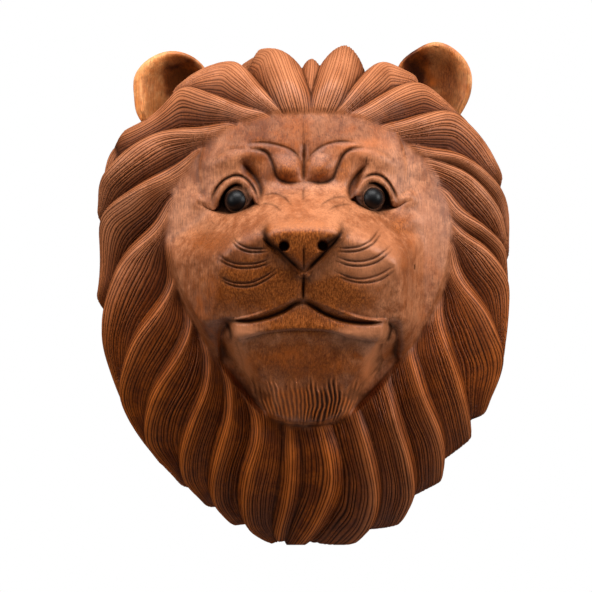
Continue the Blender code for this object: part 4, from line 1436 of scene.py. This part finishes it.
# Painted highlights: pale patches on the chin facet, the ends of the lower lip, the top of the
# nose, the right cheek, the muzzle and the brow, where the light falls.
HIGHLIGHT_PLACES = (
    ((372, 362), (8, 22), -20, 1.0), ((246, 332), (13, 6), 0, 1.0), ((244, 362), (6, 20), 22, 0.6),
    ((361, 333), (24, 6), 0, 1.0), ((303, 225), (36, 4), 0, 0.5), ((425, 235), (16, 40), 0, 0.5),
    ((378, 236), (16, 10), 0, 0.5), ((372, 147), (30, 8), 0, 0.4), ((372, 258), (28, 28), 0, 0.75),
    ((303, 212), (46, 14), 0, 0.2), ((432, 82), (3, 3), 0, 0.9),
)


# %% [markdown]
# The mane and the lower face are painted darker towards the bottom, partly as a darker stain
# and partly as painted shade on what looks down, away from the light above. Crests are painted
# pale, broadly at the crown and narrowly below, partly as wear and partly as a painted
# highlight, and higher up the side of each lock towards the chin gets painted shade. All of
# this is written as numbers on the vertices, and the finish reads them by their names, because
# a mask that follows the carving beats one laid over it.

# %% Write what was found as attributes
HAIR_AT, HAIRLINE_WAVE = (-4, 5), (3.0, 8.0)
CREASE_WIDTH, CREASE_AT, HOLLOW_ROUNDS, BEARD_RIDGE_HIGHLIGHT = 1.3, (0, 9), 6, 0.85
DUSKY_MANE, DUSKY_MANE_AT = 0.8, (110, -120)
DUSKY_FACE, DUSKY_FACE_AT = 0.5, (-30, -110)
PALER_RIGHT, PALER_ACROSS_AT, PALER_DOWN_AT = 0.6, (10, 90), (-40, -140)
BELOW_AT, CROWN_AT = (90, -40), (195, 235)
CREST_OFF, CREST_WIDTH, CREST_BELOW, CREST_CROWN = 0.08, 0.54, 0.28, 0.5
CREST_WEAKER_BELOW, CREST_EVEN, CREST_UNEVEN, CREST_PATCH = 0.1, 0.76, 0.24, 11.0
LINED, LINED_CREST, LINED_CROWN = 0.97, 0.32, 0.45
SHADE_ACROSS_AT, SHADE_UP_AT, SHADE_CROWN, SHADE_CROWN_AT = (0.05, 0.8), (-70, 50), 0.5, (205, 235)


def darker_below(x, z, hair):
    """How much darker the wood is painted towards the bottom and under the chin: partly a darker
    stain and partly painted shade where the surface looks down, away from the light above.
    """
    paler = 1 - PALER_RIGHT * smooth_step(*PALER_ACROSS_AT, x) * smooth_step(*PALER_DOWN_AT, z)
    mane = DUSKY_MANE * smooth_step(*DUSKY_MANE_AT, z) * hair * paler
    return mane + DUSKY_FACE * smooth_step(*DUSKY_FACE_AT, z) * (1 - hair)


points = mesh_points(head.data)
pattern_x, pattern_z, pattern_depth = from_world(points)
turn = np.arctan2(pattern_z - MIDDLE[1], pattern_x - MIDDLE[0])
radius = np.hypot(pattern_x - MIDDLE[0], pattern_z - MIDDLE[1])
bend = bend_below(turn, radius, pattern_depth)
for _ in range(LIFT_ROUNDS):
    bend = bend_below(turn, radius, pattern_depth - skull_lift(turn, bend))
skin = skin_place(turn, bend)
is_ear = slot_of_vertices(head.data, EAR_WOOD)
mane = comb_mane(skin)
base_radius, _ = dome(turn, bend, 0.0)
beyond = base_radius - around_clock(FACE_RADII, turn)
beyond = beyond + HAIRLINE_WAVE[0] * waviness(pattern_x, pattern_z, HAIRLINE_WAVE[1])
hair = smooth_step(*HAIR_AT, beyond) * (1 - is_ear)
_, face_dark = face_depth(pattern_x, pattern_z)
golden, stain_and_shade, painted_highlight, ear_cups, ear_shades = (
    in_places(pattern_x, pattern_z, places)
    for places in (GOLDEN_PLACES, SHADE_AND_STAIN_PLACES, HIGHLIGHT_PLACES, EAR_CUPS, EAR_SHADES)
)
beard_here, beard_line = beard(pattern_x, pattern_z)
# The ridges of the beard get a painted highlight too.
painted_highlight = np.maximum(painted_highlight, BEARD_RIDGE_HIGHLIGHT * beard_here * (1 - beard_line))
stain_and_shade = stain_and_shade * ((1 - hair) * (1 - is_ear))
stain_and_shade = np.maximum(stain_and_shade, darker_below(pattern_x, pattern_z, hair))
below, crown = smooth_step(*BELOW_AT, pattern_z), smooth_step(*CROWN_AT, pattern_z)
# Crests are painted pale: partly wear, partly a painted highlight from the light above.
crest_width = CREST_WIDTH - CREST_BELOW * below + CREST_CROWN * crown
crest = np.exp(-(((mane.across + CREST_OFF) / crest_width) ** 2)) * hair
patchy = CREST_EVEN + CREST_UNEVEN * waviness(pattern_x, pattern_z, CREST_PATCH)
crest = crest * (1 - CREST_WEAKER_BELOW * below) * patchy
# The crease is painted dark where two locks are equally high: painted shade in the valley, with
# some stain.
crease = np.exp(-mane.margin / CREASE_WIDTH) * hair * smooth_step(*CREASE_AT, beyond)
shade = smooth_step(*SHADE_ACROSS_AT, mane.across) * smooth_step(*SHADE_UP_AT, pattern_z) * hair
# Of these, cut, crease, hollow and dusky darken as stain with painted shade, shade is painted shade
# on the upper locks, and crest lightens as wear with painted highlights.
found = {
    "mane": hair,
    "cut": np.where(is_ear > 0, ear_cups, face_dark * (1 - hair)),
    "crease": crease,
    "crest": crest + painted_highlight * (1 - hair),
    "lined": (LINED - LINED_CREST * crest) * (1 - LINED_CROWN * crown),
    "hollow": broad_hollows(head.data, points, HOLLOW_ROUNDS),
    "golden": golden * (1 - hair),
    "shade": shade * (1 - SHADE_CROWN * smooth_step(*SHADE_CROWN_AT, pattern_z)),
    "dusky": np.where(is_ear > 0, ear_shades, stain_and_shade),
}
for name, values in found.items():
    attribute = head.data.attributes.new(name, "FLOAT", "POINT")
    attribute.data.foreach_set("value", np.asarray(values, dtype=np.float32))
print("attributes on", len(points), "vertices:", ", ".join(found))

# %% [markdown]
# Fine lines must stay crisp, so the number of the groove is written for each corner of each
# triangle in a UV map: across it counts grooves, and along it measures millimetres. All
# three corners of a triangle are read from the same lock, or the numbers would jump.

# %% Comb lines as a UV map
def comb_map(mesh, skin):
    corner = corners_of(mesh)
    owner = comb_mane(skin[corner].mean(axis=1)).lock
    across, along = np.zeros(corner.shape), np.zeros(corner.shape)
    for index, lock in enumerate(LOCKS):
        faces = np.flatnonzero(owner == index)
        _, _, way, phase = lock_profile(index, skin[corner[faces]].reshape(-1, 2))
        across[faces] = phase.reshape(-1, 3)
        along[faces] = (way * lock.length).reshape(-1, 3)
    layer = mesh.uv_layers.new(name="comb")
    layer.data.foreach_set("uv", np.stack([across.ravel(), along.ravel()], axis=1).ravel())


comb_map(head.data, skin)
print("comb lines mapped on", len(head.data.loops), "corners")

# %% [markdown]
# ## Finishes
#
# Colours are named as they look on a screen, from 0 to 255, and turned into the linear
# numbers that a shader wants. Small helpers place a node and join two sockets, so that each
# material reads as a short recipe.

# %% Colour and node helpers
def tint(red, green, blue):
    """A screen colour as the shader's linear colour."""
    def linear(value):
        value /= 255
        return value / 12.92 if value <= 0.04045 else ((value + 0.055) / 1.055) ** 2.4
    return (linear(red), linear(green), linear(blue), 1.0)


def fill(tree, node, inputs):
    """Sets a node's inputs, or joins them to other sockets."""
    for name, value in inputs.items():
        if isinstance(value, bpy.types.NodeSocket):
            tree.links.new(value, node.inputs[name])
        else:
            node.inputs[name].default_value = value


def add_node(tree, kind, inputs=None, **settings):
    """A new node, with its settings made and its inputs filled."""
    made = tree.nodes.new(kind)
    for name, value in settings.items():
        setattr(made, name, value)
    fill(tree, made, inputs or {})
    return made


def math_node(tree, operation, one, other, clamp=False):
    inputs = {0: one, 1: other}
    return add_node(tree, "ShaderNodeMath", inputs, operation=operation, use_clamp=clamp).outputs[0]


def times(tree, one, other, clamp=False):
    return math_node(tree, "MULTIPLY", one, other, clamp)


def plus(tree, one, other):
    return math_node(tree, "ADD", one, other)


def minus(tree, one, other, clamp=False):
    return math_node(tree, "SUBTRACT", one, other, clamp)


def higher(tree, one, other, clamp=False):
    return math_node(tree, "MAXIMUM", one, other, clamp)


def spread(tree, value, low, high, to_low=0.0, to_high=1.0):
    """A value's range, smoothly spread over another range."""
    names = ("Value", "From Min", "From Max", "To Min", "To Max")
    inputs = dict(zip(names, (value, low, high, to_low, to_high)))
    made = add_node(tree, "ShaderNodeMapRange", inputs, interpolation_type="SMOOTHSTEP")
    return made.outputs["Result"]


def mix_colours(tree, share, one, other):
    inputs = {0: share, 6: one, 7: other}
    return add_node(tree, "ShaderNodeMix", inputs, data_type="RGBA").outputs[2]


def noise(tree, place, scale, detail=3.0, roughness=0.55):
    inputs = {"Vector": place, "Scale": scale, "Detail": detail, "Roughness": roughness}
    return add_node(tree, "ShaderNodeTexNoise", inputs).outputs["Fac"]


def streaky(tree, place, squeeze, detail, roughness):
    """Noise squeezed by so much along each axis, so that it is drawn out along the least."""
    squeezed = add_node(tree, "ShaderNodeMapping", {"Vector": place, "Scale": squeeze}).outputs[0]
    return noise(tree, squeezed, 1.0, detail, roughness)


def bump(tree, height, strength, distance, **more):
    inputs = {"Height": height, "Strength": strength, "Distance": distance, **more}
    return add_node(tree, "ShaderNodeBump", inputs).outputs["Normal"]


def new_group(name, inputs, outputs):
    """A node group with named sockets, its given values and its end node."""
    tree = bpy.data.node_groups.new(name, "ShaderNodeTree")
    kinds = {"place": "NodeSocketVector", "colour": "NodeSocketColor", "value": "NodeSocketFloat"}
    for sockets, way in ((inputs, "INPUT"), (outputs, "OUTPUT")):
        for label, kind in sockets.items():
            tree.interface.new_socket(label, in_out=way, socket_type=kinds[kind])
    return tree, tree.nodes.new("NodeGroupInput").outputs, tree.nodes.new("NodeGroupOutput")


def place_group(tree, group, inputs):
    return add_node(tree, "ShaderNodeGroup", inputs, node_tree=group).outputs


def start_material(material):
    """A material's tree and shader, and the place on the object that is being coloured."""
    material.use_nodes = True
    tree = material.node_tree
    place = add_node(tree, "ShaderNodeTexCoord").outputs["Object"]
    return tree, tree.nodes["Principled BSDF"], place


# %% [markdown]
# ### Grain
#
# The block stood upright as a tree, so its fibres run up and down. A noise that is squeezed
# sideways and drawn out along Z gives fine streaks; a sharper one gives the pores, which
# show as short dark dashes; broad soft ones give the patches where the wood took more or
# less stain. All of it is solid: it goes right through the carving, as real grain does.

# %% Wood grain group
# squeeze along each axis, detail, roughness
FIBRES = ((640, 640, 62), 4.0, 0.66)
BANDS = ((80, 80, 14), 2.0, 0.5)
DASHES, DASHES_AT = ((1100, 1100, 90), 1.0, 0.5), (0.60, 0.72)
# scale, detail, roughness
BROAD, MOTTLED, CHISELLED = (17.0, 2.0, 0.5), (110.0, 4.0, 0.68), (210.0, 2.0, 0.6)
FIBRE_SHARE, BAND_SHARE, PATCH_SHARE = 0.86, 0.14, 0.5
CHISEL_RELIEF, PORE_RELIEF = 1.6, 0.8


def make_grain_group():
    outputs = dict.fromkeys(("Streaks", "Pores", "Patches", "Relief"), "value")
    tree, given, out = new_group("wood_grain", {"Place": "place"}, outputs)
    place = given["Place"]
    fibres, bands = streaky(tree, place, *FIBRES), streaky(tree, place, *BANDS)
    pores = spread(tree, streaky(tree, place, *DASHES), *DASHES_AT)
    broad, mottled = noise(tree, place, *BROAD), noise(tree, place, *MOTTLED)
    chiselled = times(tree, noise(tree, place, *CHISELLED), CHISEL_RELIEF)
    relief = minus(tree, plus(tree, fibres, chiselled), times(tree, pores, PORE_RELIEF))
    fill(tree, out, {
        "Streaks": plus(tree, times(tree, fibres, FIBRE_SHARE), times(tree, bands, BAND_SHARE)),
        "Pores": pores,
        "Patches": plus(tree, times(tree, broad, PATCH_SHARE), times(tree, mottled, PATCH_SHARE)),
        "Relief": relief,
    })
    return tree


GRAIN = make_grain_group()
print("grain group:", len(GRAIN.nodes), "nodes")

# %% [markdown]
# ### Combed lines
#
# The UV map counts the grooves, so the distance to the nearest whole number is the distance
# to the middle of a groove. Inside a ridge the gouge leaves still finer scratches along it.

# %% Combed lines group
GROOVE_EVERY, LINE_AT = 0.5, (0.34, 0.04)
SCRATCHES = ((7.0, 0.05, 1.0), 3.0, 0.6)
STRANDS = ((1.7, 0.012, 1.0), 2.0, 0.5)


def make_comb_group():
    outputs = dict.fromkeys(("Line", "Scratches", "Strands"), "value")
    tree, given, out = new_group("combed_lines", {"Comb": "place", "Mane": "value"}, outputs)
    comb, mane = given["Comb"], given["Mane"]
    number = add_node(tree, "ShaderNodeSeparateXYZ", {0: comb}).outputs[0]
    off = math_node(tree, "PINGPONG", number, GROOVE_EVERY)
    fill(tree, out, {
        "Line": times(tree, spread(tree, off, *LINE_AT), mane),
        "Scratches": times(tree, streaky(tree, comb, *SCRATCHES), mane),
        "Strands": streaky(tree, comb, *STRANDS),
    })
    return tree


COMB = make_comb_group()
print("comb group:", len(COMB.nodes), "nodes")

# %% [markdown]
# ### Stain, painted shade and wax
#
# Dark stain was wiped over the whole carving and wiped off again, so it stayed in the
# grooves, between the locks and in every broad hollow; the same dark also paints the shade that
# falls there. Wax and hands then rubbed the ridges lighter, and that pale also paints a
# highlight on them. One group turns those masks into a colour and a roughness.

# %% Stain, painted shade and wax group
# Broad hollows and cuts take the dark colour: stain with painted shade.
HOLLOWS_AT, HOLLOW_STAIN_AND_SHADE = (0.10, 1.2), 0.5
ROUGHNESS, ROUGHER_CUTS, SMOOTHER_RIDGES, WAX = 0.44, 0.22, 0.06, 0.7


def make_stain_shade_and_wax_group():
    inputs = dict.fromkeys(("Wood", "Stain And Shade", "Worn And Highlit"), "colour")
    inputs |= dict.fromkeys(("In Cuts", "In Hollows", "On Ridges"), "value")
    outputs = {"Colour": "colour", "Roughness": "value", "Wax": "value"}
    tree, given, out = new_group("stain_shade_and_wax", inputs, outputs)
    hollows = spread(tree, given["In Hollows"], *HOLLOWS_AT, 0.0, HOLLOW_STAIN_AND_SHADE)
    stain_and_shade = higher(tree, given["In Cuts"], hollows, clamp=True)
    free_of_stain_and_shade = minus(tree, 1.0, stain_and_shade)
    ridges = times(tree, given["On Ridges"], free_of_stain_and_shade, clamp=True)
    worn_and_highlit_crest = mix_colours(tree, ridges, given["Wood"], given["Worn And Highlit"])
    rough = plus(tree, ROUGHNESS, times(tree, stain_and_shade, ROUGHER_CUTS))
    fill(tree, out, {
        "Colour": mix_colours(tree, stain_and_shade, worn_and_highlit_crest, given["Stain And Shade"]),
        "Roughness": minus(tree, rough, times(tree, ridges, SMOOTHER_RIDGES), clamp=True),
        "Wax": times(tree, free_of_stain_and_shade, WAX),
    })
    return tree


STAIN_SHADE_AND_WAX = make_stain_shade_and_wax_group()
print("stain group:", len(STAIN_SHADE_AND_WAX.nodes), "nodes")

# %% [markdown]
# ### The carved wood
#
# The recipe goes from the wood outwards: the tones of face and mane, then the darkening towards
# the bottom, partly stain and partly painted shade, and the painted shade on the chin side of
# the upper locks, the streaks and pores of the grain, the dark of the cuts, partly stain and
# partly painted shade, the pale crests, partly wear and partly painted highlight, and the wax on
# top as a thin rough coat. Ears and eye seats use it too, with tones of their own.

# %% Carved wood material
FACE_TONES = (tint(200, 128, 86), tint(146, 80, 42))
# The ears' tones are paler than the face's, a painted lightening that stands for the light on their
# walls.
EAR_TONES = (tint(255, 176, 108), tint(232, 138, 70))
SEAT_TONES = (tint(176, 120, 86), tint(126, 76, 48))
GOLDEN_TONES = (tint(192, 106, 44), tint(122, 58, 16))
MANE_TONES = (tint(162, 86, 40), tint(108, 48, 16))
DUSKY, EMBER, SHADED = tint(100, 40, 7), tint(184, 92, 26), tint(74, 30, 10)
# Crest colours: wear with a painted highlight, pinkish high up and orange low down.
WORN_AND_HIGHLIT_CREST, WORN_AND_HIGHLIT_CREST_BELOW = tint(204, 130, 88), tint(224, 116, 38)
STAIN_AND_SHADE_COLOUR = tint(32, 10, 1)
PATCHES_AT, STRANDS_AT = (0.39, 0.60), (0.34, 0.66)
SPECKS, SPECKS_AT = ((760, 760, 300), 4.0, 0.75), (0.66, 0.38)
DUSKY_SHARE, SHADED_SHARE, PORE_SHARE = 0.62, 0.84, 0.35
BLOTCHES, BLOTCHES_SPREAD = (46.0, 4.0, 0.62), (0.42, 0.62, 0.0, 0.9)
LOW_DOWN_SOON, STREAKS_SPREAD = 1.8, (0.60, 0.38, 0.0, 0.30)
FAINT_SPREAD, CREASE_SHARE, CREST_SHARE = (0.35, 0.65, 0.6, 1.0), 0.9, 0.9
WAX_ON_MANE, WAX_ON_FACE = 0.45, (0.0, 1.0, 0.75, 0.4)
FIBRE_BUMP, SCRATCH_BUMP, FINE_BUMP = 0.6, 0.5, 0.0005
SHEEN_UNDER_WAX, WAX_ROUGHNESS = 0.08, 0.46


def finish_wood(material, pale, deep):
    """The carved and waxed front. Bare wood has a pale and a deep tone."""
    tree, shader, place = start_material(material)
    mane, crest, golden, dusky, shade, lined, crease, cut, hollow = (
        add_node(tree, "ShaderNodeAttribute", attribute_name=name).outputs["Fac"]
        for name in "mane crest golden dusky shade lined crease cut hollow".split()
    )
    grain = place_group(tree, GRAIN, {"Place": place})
    comb_uv = add_node(tree, "ShaderNodeUVMap", uv_map="comb").outputs["UV"]
    comb = place_group(tree, COMB, {"Comb": comb_uv, "Mane": mane})
    plain_wood = mix_colours(tree, spread(tree, grain["Patches"], *PATCHES_AT), deep, pale)
    specks = spread(tree, streaky(tree, place, *SPECKS), *SPECKS_AT)
    face_wood = mix_colours(tree, golden, plain_wood, mix_colours(tree, specks, *GOLDEN_TONES))
    strands = spread(tree, comb["Strands"], *STRANDS_AT)
    wood = mix_colours(tree, mane, face_wood, mix_colours(tree, strands, *MANE_TONES[::-1]))
    # Darker towards the bottom and in the darker places: partly stain, partly painted shade.
    darker = times(tree, dusky, DUSKY_SHARE)
    wood = mix_colours(tree, darker, wood, DUSKY)
    blotches = spread(tree, noise(tree, place, *BLOTCHES), *BLOTCHES_SPREAD)
    wood = mix_colours(tree, times(tree, blotches, darker), wood, EMBER)
    # Painted shade on the chin side of the upper locks.
    wood = mix_colours(tree, times(tree, shade, SHADED_SHARE), wood, SHADED)
    low_down = times(tree, darker, LOW_DOWN_SOON, clamp=True)
    worn_and_highlit_crest = mix_colours(tree, low_down, WORN_AND_HIGHLIT_CREST, WORN_AND_HIGHLIT_CREST_BELOW)
    wood = mix_colours(tree, spread(tree, grain["Streaks"], *STREAKS_SPREAD), wood, STAIN_AND_SHADE_COLOUR)
    wood = mix_colours(tree, times(tree, grain["Pores"], PORE_SHARE), wood, STAIN_AND_SHADE_COLOUR)
    faint = times(tree, lined, spread(tree, comb["Strands"], *FAINT_SPREAD))
    # Comb lines, creases and cuts take the dark colour: stain with painted shade.
    cuts = higher(tree, times(tree, comb["Line"], faint), times(tree, crease, CREASE_SHARE))
    finish = place_group(tree, STAIN_SHADE_AND_WAX, {
        "Wood": wood, "Stain And Shade": STAIN_AND_SHADE_COLOUR, "Worn And Highlit": worn_and_highlit_crest, "In Hollows": hollow,
        "In Cuts": higher(tree, cuts, cut, clamp=True),
        "On Ridges": times(tree, crest, CREST_SHARE),
    })
    bare = minus(tree, 1.0, mane, clamp=True)
    not_darkened = minus(tree, minus(tree, 1.0, dusky, clamp=True), shade, clamp=True)
    waxed_mane = times(tree, times(tree, mane, not_darkened), WAX_ON_MANE)
    waxed_face = times(tree, bare, spread(tree, golden, *WAX_ON_FACE))
    fibres = bump(tree, grain["Relief"], FIBRE_BUMP, FINE_BUMP)
    fill(tree, shader, {
        "Base Color": finish["Colour"],
        "Roughness": finish["Roughness"],
        "Coat Weight": times(tree, finish["Wax"], plus(tree, waxed_face, waxed_mane), clamp=True),
        "Normal": bump(tree, comb["Scratches"], SCRATCH_BUMP, FINE_BUMP, Normal=fibres),
        "Specular IOR Level": SHEEN_UNDER_WAX,
        "Coat Roughness": WAX_ROUGHNESS,
    })
    print("finish:", material.name, "with", len(tree.nodes), "nodes")


finish_wood(FINISHES[WOOD], *FACE_TONES)
finish_wood(FINISHES[EAR_WOOD], *EAR_TONES)
finish_wood(FINISHES[SEAT_WOOD], *SEAT_TONES)

# %% [markdown]
# ### The sawn back
#
# Nobody sees the back, so it is as the saw left it: bare paler wood, with the saw's marks
# running across in shallow steps.

# %% Sawn back material
SAW, SAW_SPREAD = ((14, 14, 420), 2.0, 0.5), (0.58, 0.40, 0.0, 0.3)
SAW_ROUGHNESS = (0.3, 0.7, 0.7, 0.85)
BACK_TONES = (tint(152, 104, 66), tint(178, 128, 86))
BACK_PATCHES_AT, BACK_STREAKS = (0.35, 0.65), (0.62, 0.36, 0.0, 0.5)
STREAK_TONE, SAW_TONE = tint(96, 58, 34), tint(110, 70, 42)
BACK_FIBRE_BUMP, SAW_BUMP, SAW_HEIGHT = 0.4, 0.6, 0.0008


def finish_back(material):
    tree, shader, place = start_material(material)
    grain = place_group(tree, GRAIN, {"Place": place})
    saw = streaky(tree, place, *SAW)
    wood = mix_colours(tree, spread(tree, grain["Patches"], *BACK_PATCHES_AT), *BACK_TONES)
    wood = mix_colours(tree, spread(tree, grain["Streaks"], *BACK_STREAKS), wood, STREAK_TONE)
    fibres = bump(tree, grain["Relief"], BACK_FIBRE_BUMP, FINE_BUMP)
    fill(tree, shader, {
        "Base Color": mix_colours(tree, spread(tree, saw, *SAW_SPREAD), wood, SAW_TONE),
        "Roughness": spread(tree, saw, *SAW_ROUGHNESS),
        "Normal": bump(tree, saw, SAW_BUMP, SAW_HEIGHT, Normal=fibres),
    })


finish_back(FINISHES[BACK_WOOD])

# %% [markdown]
# ## The eyes
#
# Each bead is a domed button on a short shank. Its outline is drawn once as a half section
# and spun round its axis, which is the natural way to make anything turned.

# %% Turn the beads
RIM_ROUNDING, RIM_START, DOME_STEPS = 0.6, (0.08, 0.35), 14
BEAD_SHARP_ANGLE = math.radians(40)


def turn_bead(name, eye):
    """A dome over a rounded rim and a straight shank, spun round."""
    sphere = (BEAD_RADIUS**2 + BEAD_DOME**2) / (2 * BEAD_DOME)
    last = math.asin(BEAD_RADIUS / sphere)
    bends = [last * step / DOME_STEPS for step in range(DOME_STEPS)]
    section = [(sphere * math.sin(a), sphere * math.cos(a) - sphere + BEAD_DOME) for a in bends]
    section += [
        (BEAD_RADIUS - RIM_START[0], RIM_START[1]),
        (BEAD_RADIUS, -RIM_ROUNDING),
        (BEAD_RADIUS, -BEAD_SHANK + RIM_ROUNDING),
        (BEAD_RADIUS - RIM_ROUNDING, -BEAD_SHANK),
        (0.0, -BEAD_SHANK),
    ]
    bm = bmesh.new()
    verts = [bm.verts.new((out * MM, 0.0, up * MM)) for out, up in section]
    edges = [bm.edges.new(pair) for pair in zip(verts, verts[1:])]
    mesh = spin_at_eye(bm, verts + edges, eye, name)
    mesh.shade_smooth()
    mesh.set_sharp_from_angle(angle=BEAD_SHARP_ANGLE)
    return add_object(name, mesh)


# %% [markdown]
# Black gloss is never one even black: a faint cloud in the colour and a little unevenness in
# the polish keep the highlight from looking like glass.

# %% Black gloss
CLOUD, CLOUD_AT = (240.0, 3.0, 0.6), (0.3, 0.7)
GLOSS_TONES = (tint(5, 5, 6), tint(12, 12, 14))
POLISH, POLISH_SPREAD = (900.0, 2.0), (0.35, 0.7, 0.38, 0.50)
GLOSS_SHEEN = 0.24


def finish_bead():
    material = bpy.data.materials.new("eye_gloss")
    tree, shader, place = start_material(material)
    cloud = spread(tree, noise(tree, place, *CLOUD), *CLOUD_AT)
    fill(tree, shader, {
        "Base Color": mix_colours(tree, cloud, *GLOSS_TONES),
        "Roughness": spread(tree, noise(tree, place, *POLISH), *POLISH_SPREAD),
        "Specular IOR Level": GLOSS_SHEEN,
    })
    return material


BEAD_GLOSS = finish_bead()
for side, eye in (("left_eye", LEFT_EYE), ("right_eye", RIGHT_EYE)):
    bead = turn_bead(f"{side}_bead", eye)
    bead.data.materials.append(BEAD_GLOSS)
    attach(bead, "root")
    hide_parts(side)
    in_frame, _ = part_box(side)
    made_low = mesh_points(bead.data).min(axis=0)
    print(side, "off the frame by", np.round((made_low - np.array(in_frame)) / MM, 2), "mm")

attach(head, "root")
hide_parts("lion_head")

# %% [markdown]
# ## The studio
#
# The photograph was taken in a bright white room with soft light from above and from both
# sides, and hardly any from the front: so tops shine pale, cheeks glow, and all that looks
# down or straight ahead is deep brown. Area lights are the soft boxes. The camera itself
# sees a white background, which lights the wood much less than it shows.

# %% Floor, lights, background
FLOOR_PLACE, FLOOR_PATCHES, FLOOR_ROUGHNESS = (0.0, -0.1, -1.5), 9.0, 0.8
FLOOR_TONES = (tint(226, 225, 223), tint(236, 235, 234))
WHITE = (1, 1, 1, 1)
BACKGROUND_SEEN, BACKGROUND_SHED = 1.0, 0.04


def add_light(name, place, aim, size, watts):
    data = bpy.data.lights.new(name, "AREA")
    data.shape, data.size, data.size_y, data.energy = "RECTANGLE", size[0], size[1], watts
    made = add_object(name, data)
    made.location = place
    made.rotation_euler = (Vector(aim) - Vector(place)).to_track_quat("-Z", "Y").to_euler()


add_light("top_box", (-0.05, -0.75, 1.45), (0.0, -0.08, 0.05), (1.7, 1.0), 44.0)
add_light("left_box", (-1.6, -0.85, 0.60), (0.0, -0.1, 0.05), (0.8, 1.0), 14.0)
add_light("right_box", (1.6, -0.85, 0.60), (0.0, -0.1, 0.05), (0.8, 1.0), 25.0)
add_light("front_box", (0.0, -3.0, 0.9), (0.0, 0.0, 0.0), (1.2, 0.8), 4.0)


def make_floor():
    bm = bmesh.new()
    bmesh.ops.create_grid(bm, x_segments=2, y_segments=2, size=1.0)
    bmesh.ops.translate(bm, verts=bm.verts, vec=FLOOR_PLACE)
    mesh = mesh_from(bm, "studio_floor")
    material = bpy.data.materials.new("pale_floor")
    tree, shader, place = start_material(material)
    colour = mix_colours(tree, noise(tree, place, FLOOR_PATCHES), *FLOOR_TONES)
    fill(tree, shader, {"Base Color": colour, "Roughness": FLOOR_ROUGHNESS})
    mesh.materials.append(material)
    return add_object("studio_floor", mesh)


make_floor()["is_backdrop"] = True


def make_background(seen, shed):
    """A white background for the eye, which sheds a softer light on the wood."""
    world = bpy.data.worlds.new("white_room")
    world.use_nodes = True
    tree = world.node_tree
    tree.nodes.clear()
    shown, light = (
        add_node(tree, "ShaderNodeBackground", {"Color": WHITE, "Strength": strength}).outputs[0]
        for strength in (seen, shed)
    )
    to_eye = add_node(tree, "ShaderNodeLightPath").outputs["Is Camera Ray"]
    both = add_node(tree, "ShaderNodeMixShader", {0: to_eye, 1: light, 2: shown}).outputs[0]
    add_node(tree, "ShaderNodeOutputWorld", {"Surface": both})
    bpy.context.scene.world = world


make_background(BACKGROUND_SEEN, BACKGROUND_SHED)
bpy.context.scene.view_settings.view_transform = "Standard"
bpy.context.scene.view_settings.look = "None"

# %% [markdown]
# ## The camera
#
# It looks level and straight at the wall, from far off with a long lens, as the photograph
# does. Its lens is worked out so that one pixel is one millimetre at the paper's depth.

# %% Camera
IMAGE_SIDE, SENSOR, FARTHEST = 592.0, 36.0, 100.0
camera_data = bpy.data.cameras.new("camera")
camera_data.sensor_width = SENSOR
camera_data.lens = SENSOR * (CAMERA_DISTANCE - PAPER_DEPTH) / IMAGE_SIDE
camera_data.clip_end = FARTHEST
camera = add_object("camera", camera_data)
camera.location = (AXIS[0] * MM, -CAMERA_DISTANCE * MM, AXIS[1] * MM)
camera.rotation_euler = (QUARTER, 0.0, 0.0)
bpy.context.scene.camera = camera
print("lens:", round(camera_data.lens, 1), "mm")

# %% Size and finish
bpy.context.view_layer.update()
low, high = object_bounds()
for label, corners in (("visual", (low, high)), ("frame", (cad_low, cad_high))):
    print(label, "box:", [[round(side / MM, 1) for side in corner] for corner in corners], "mm")
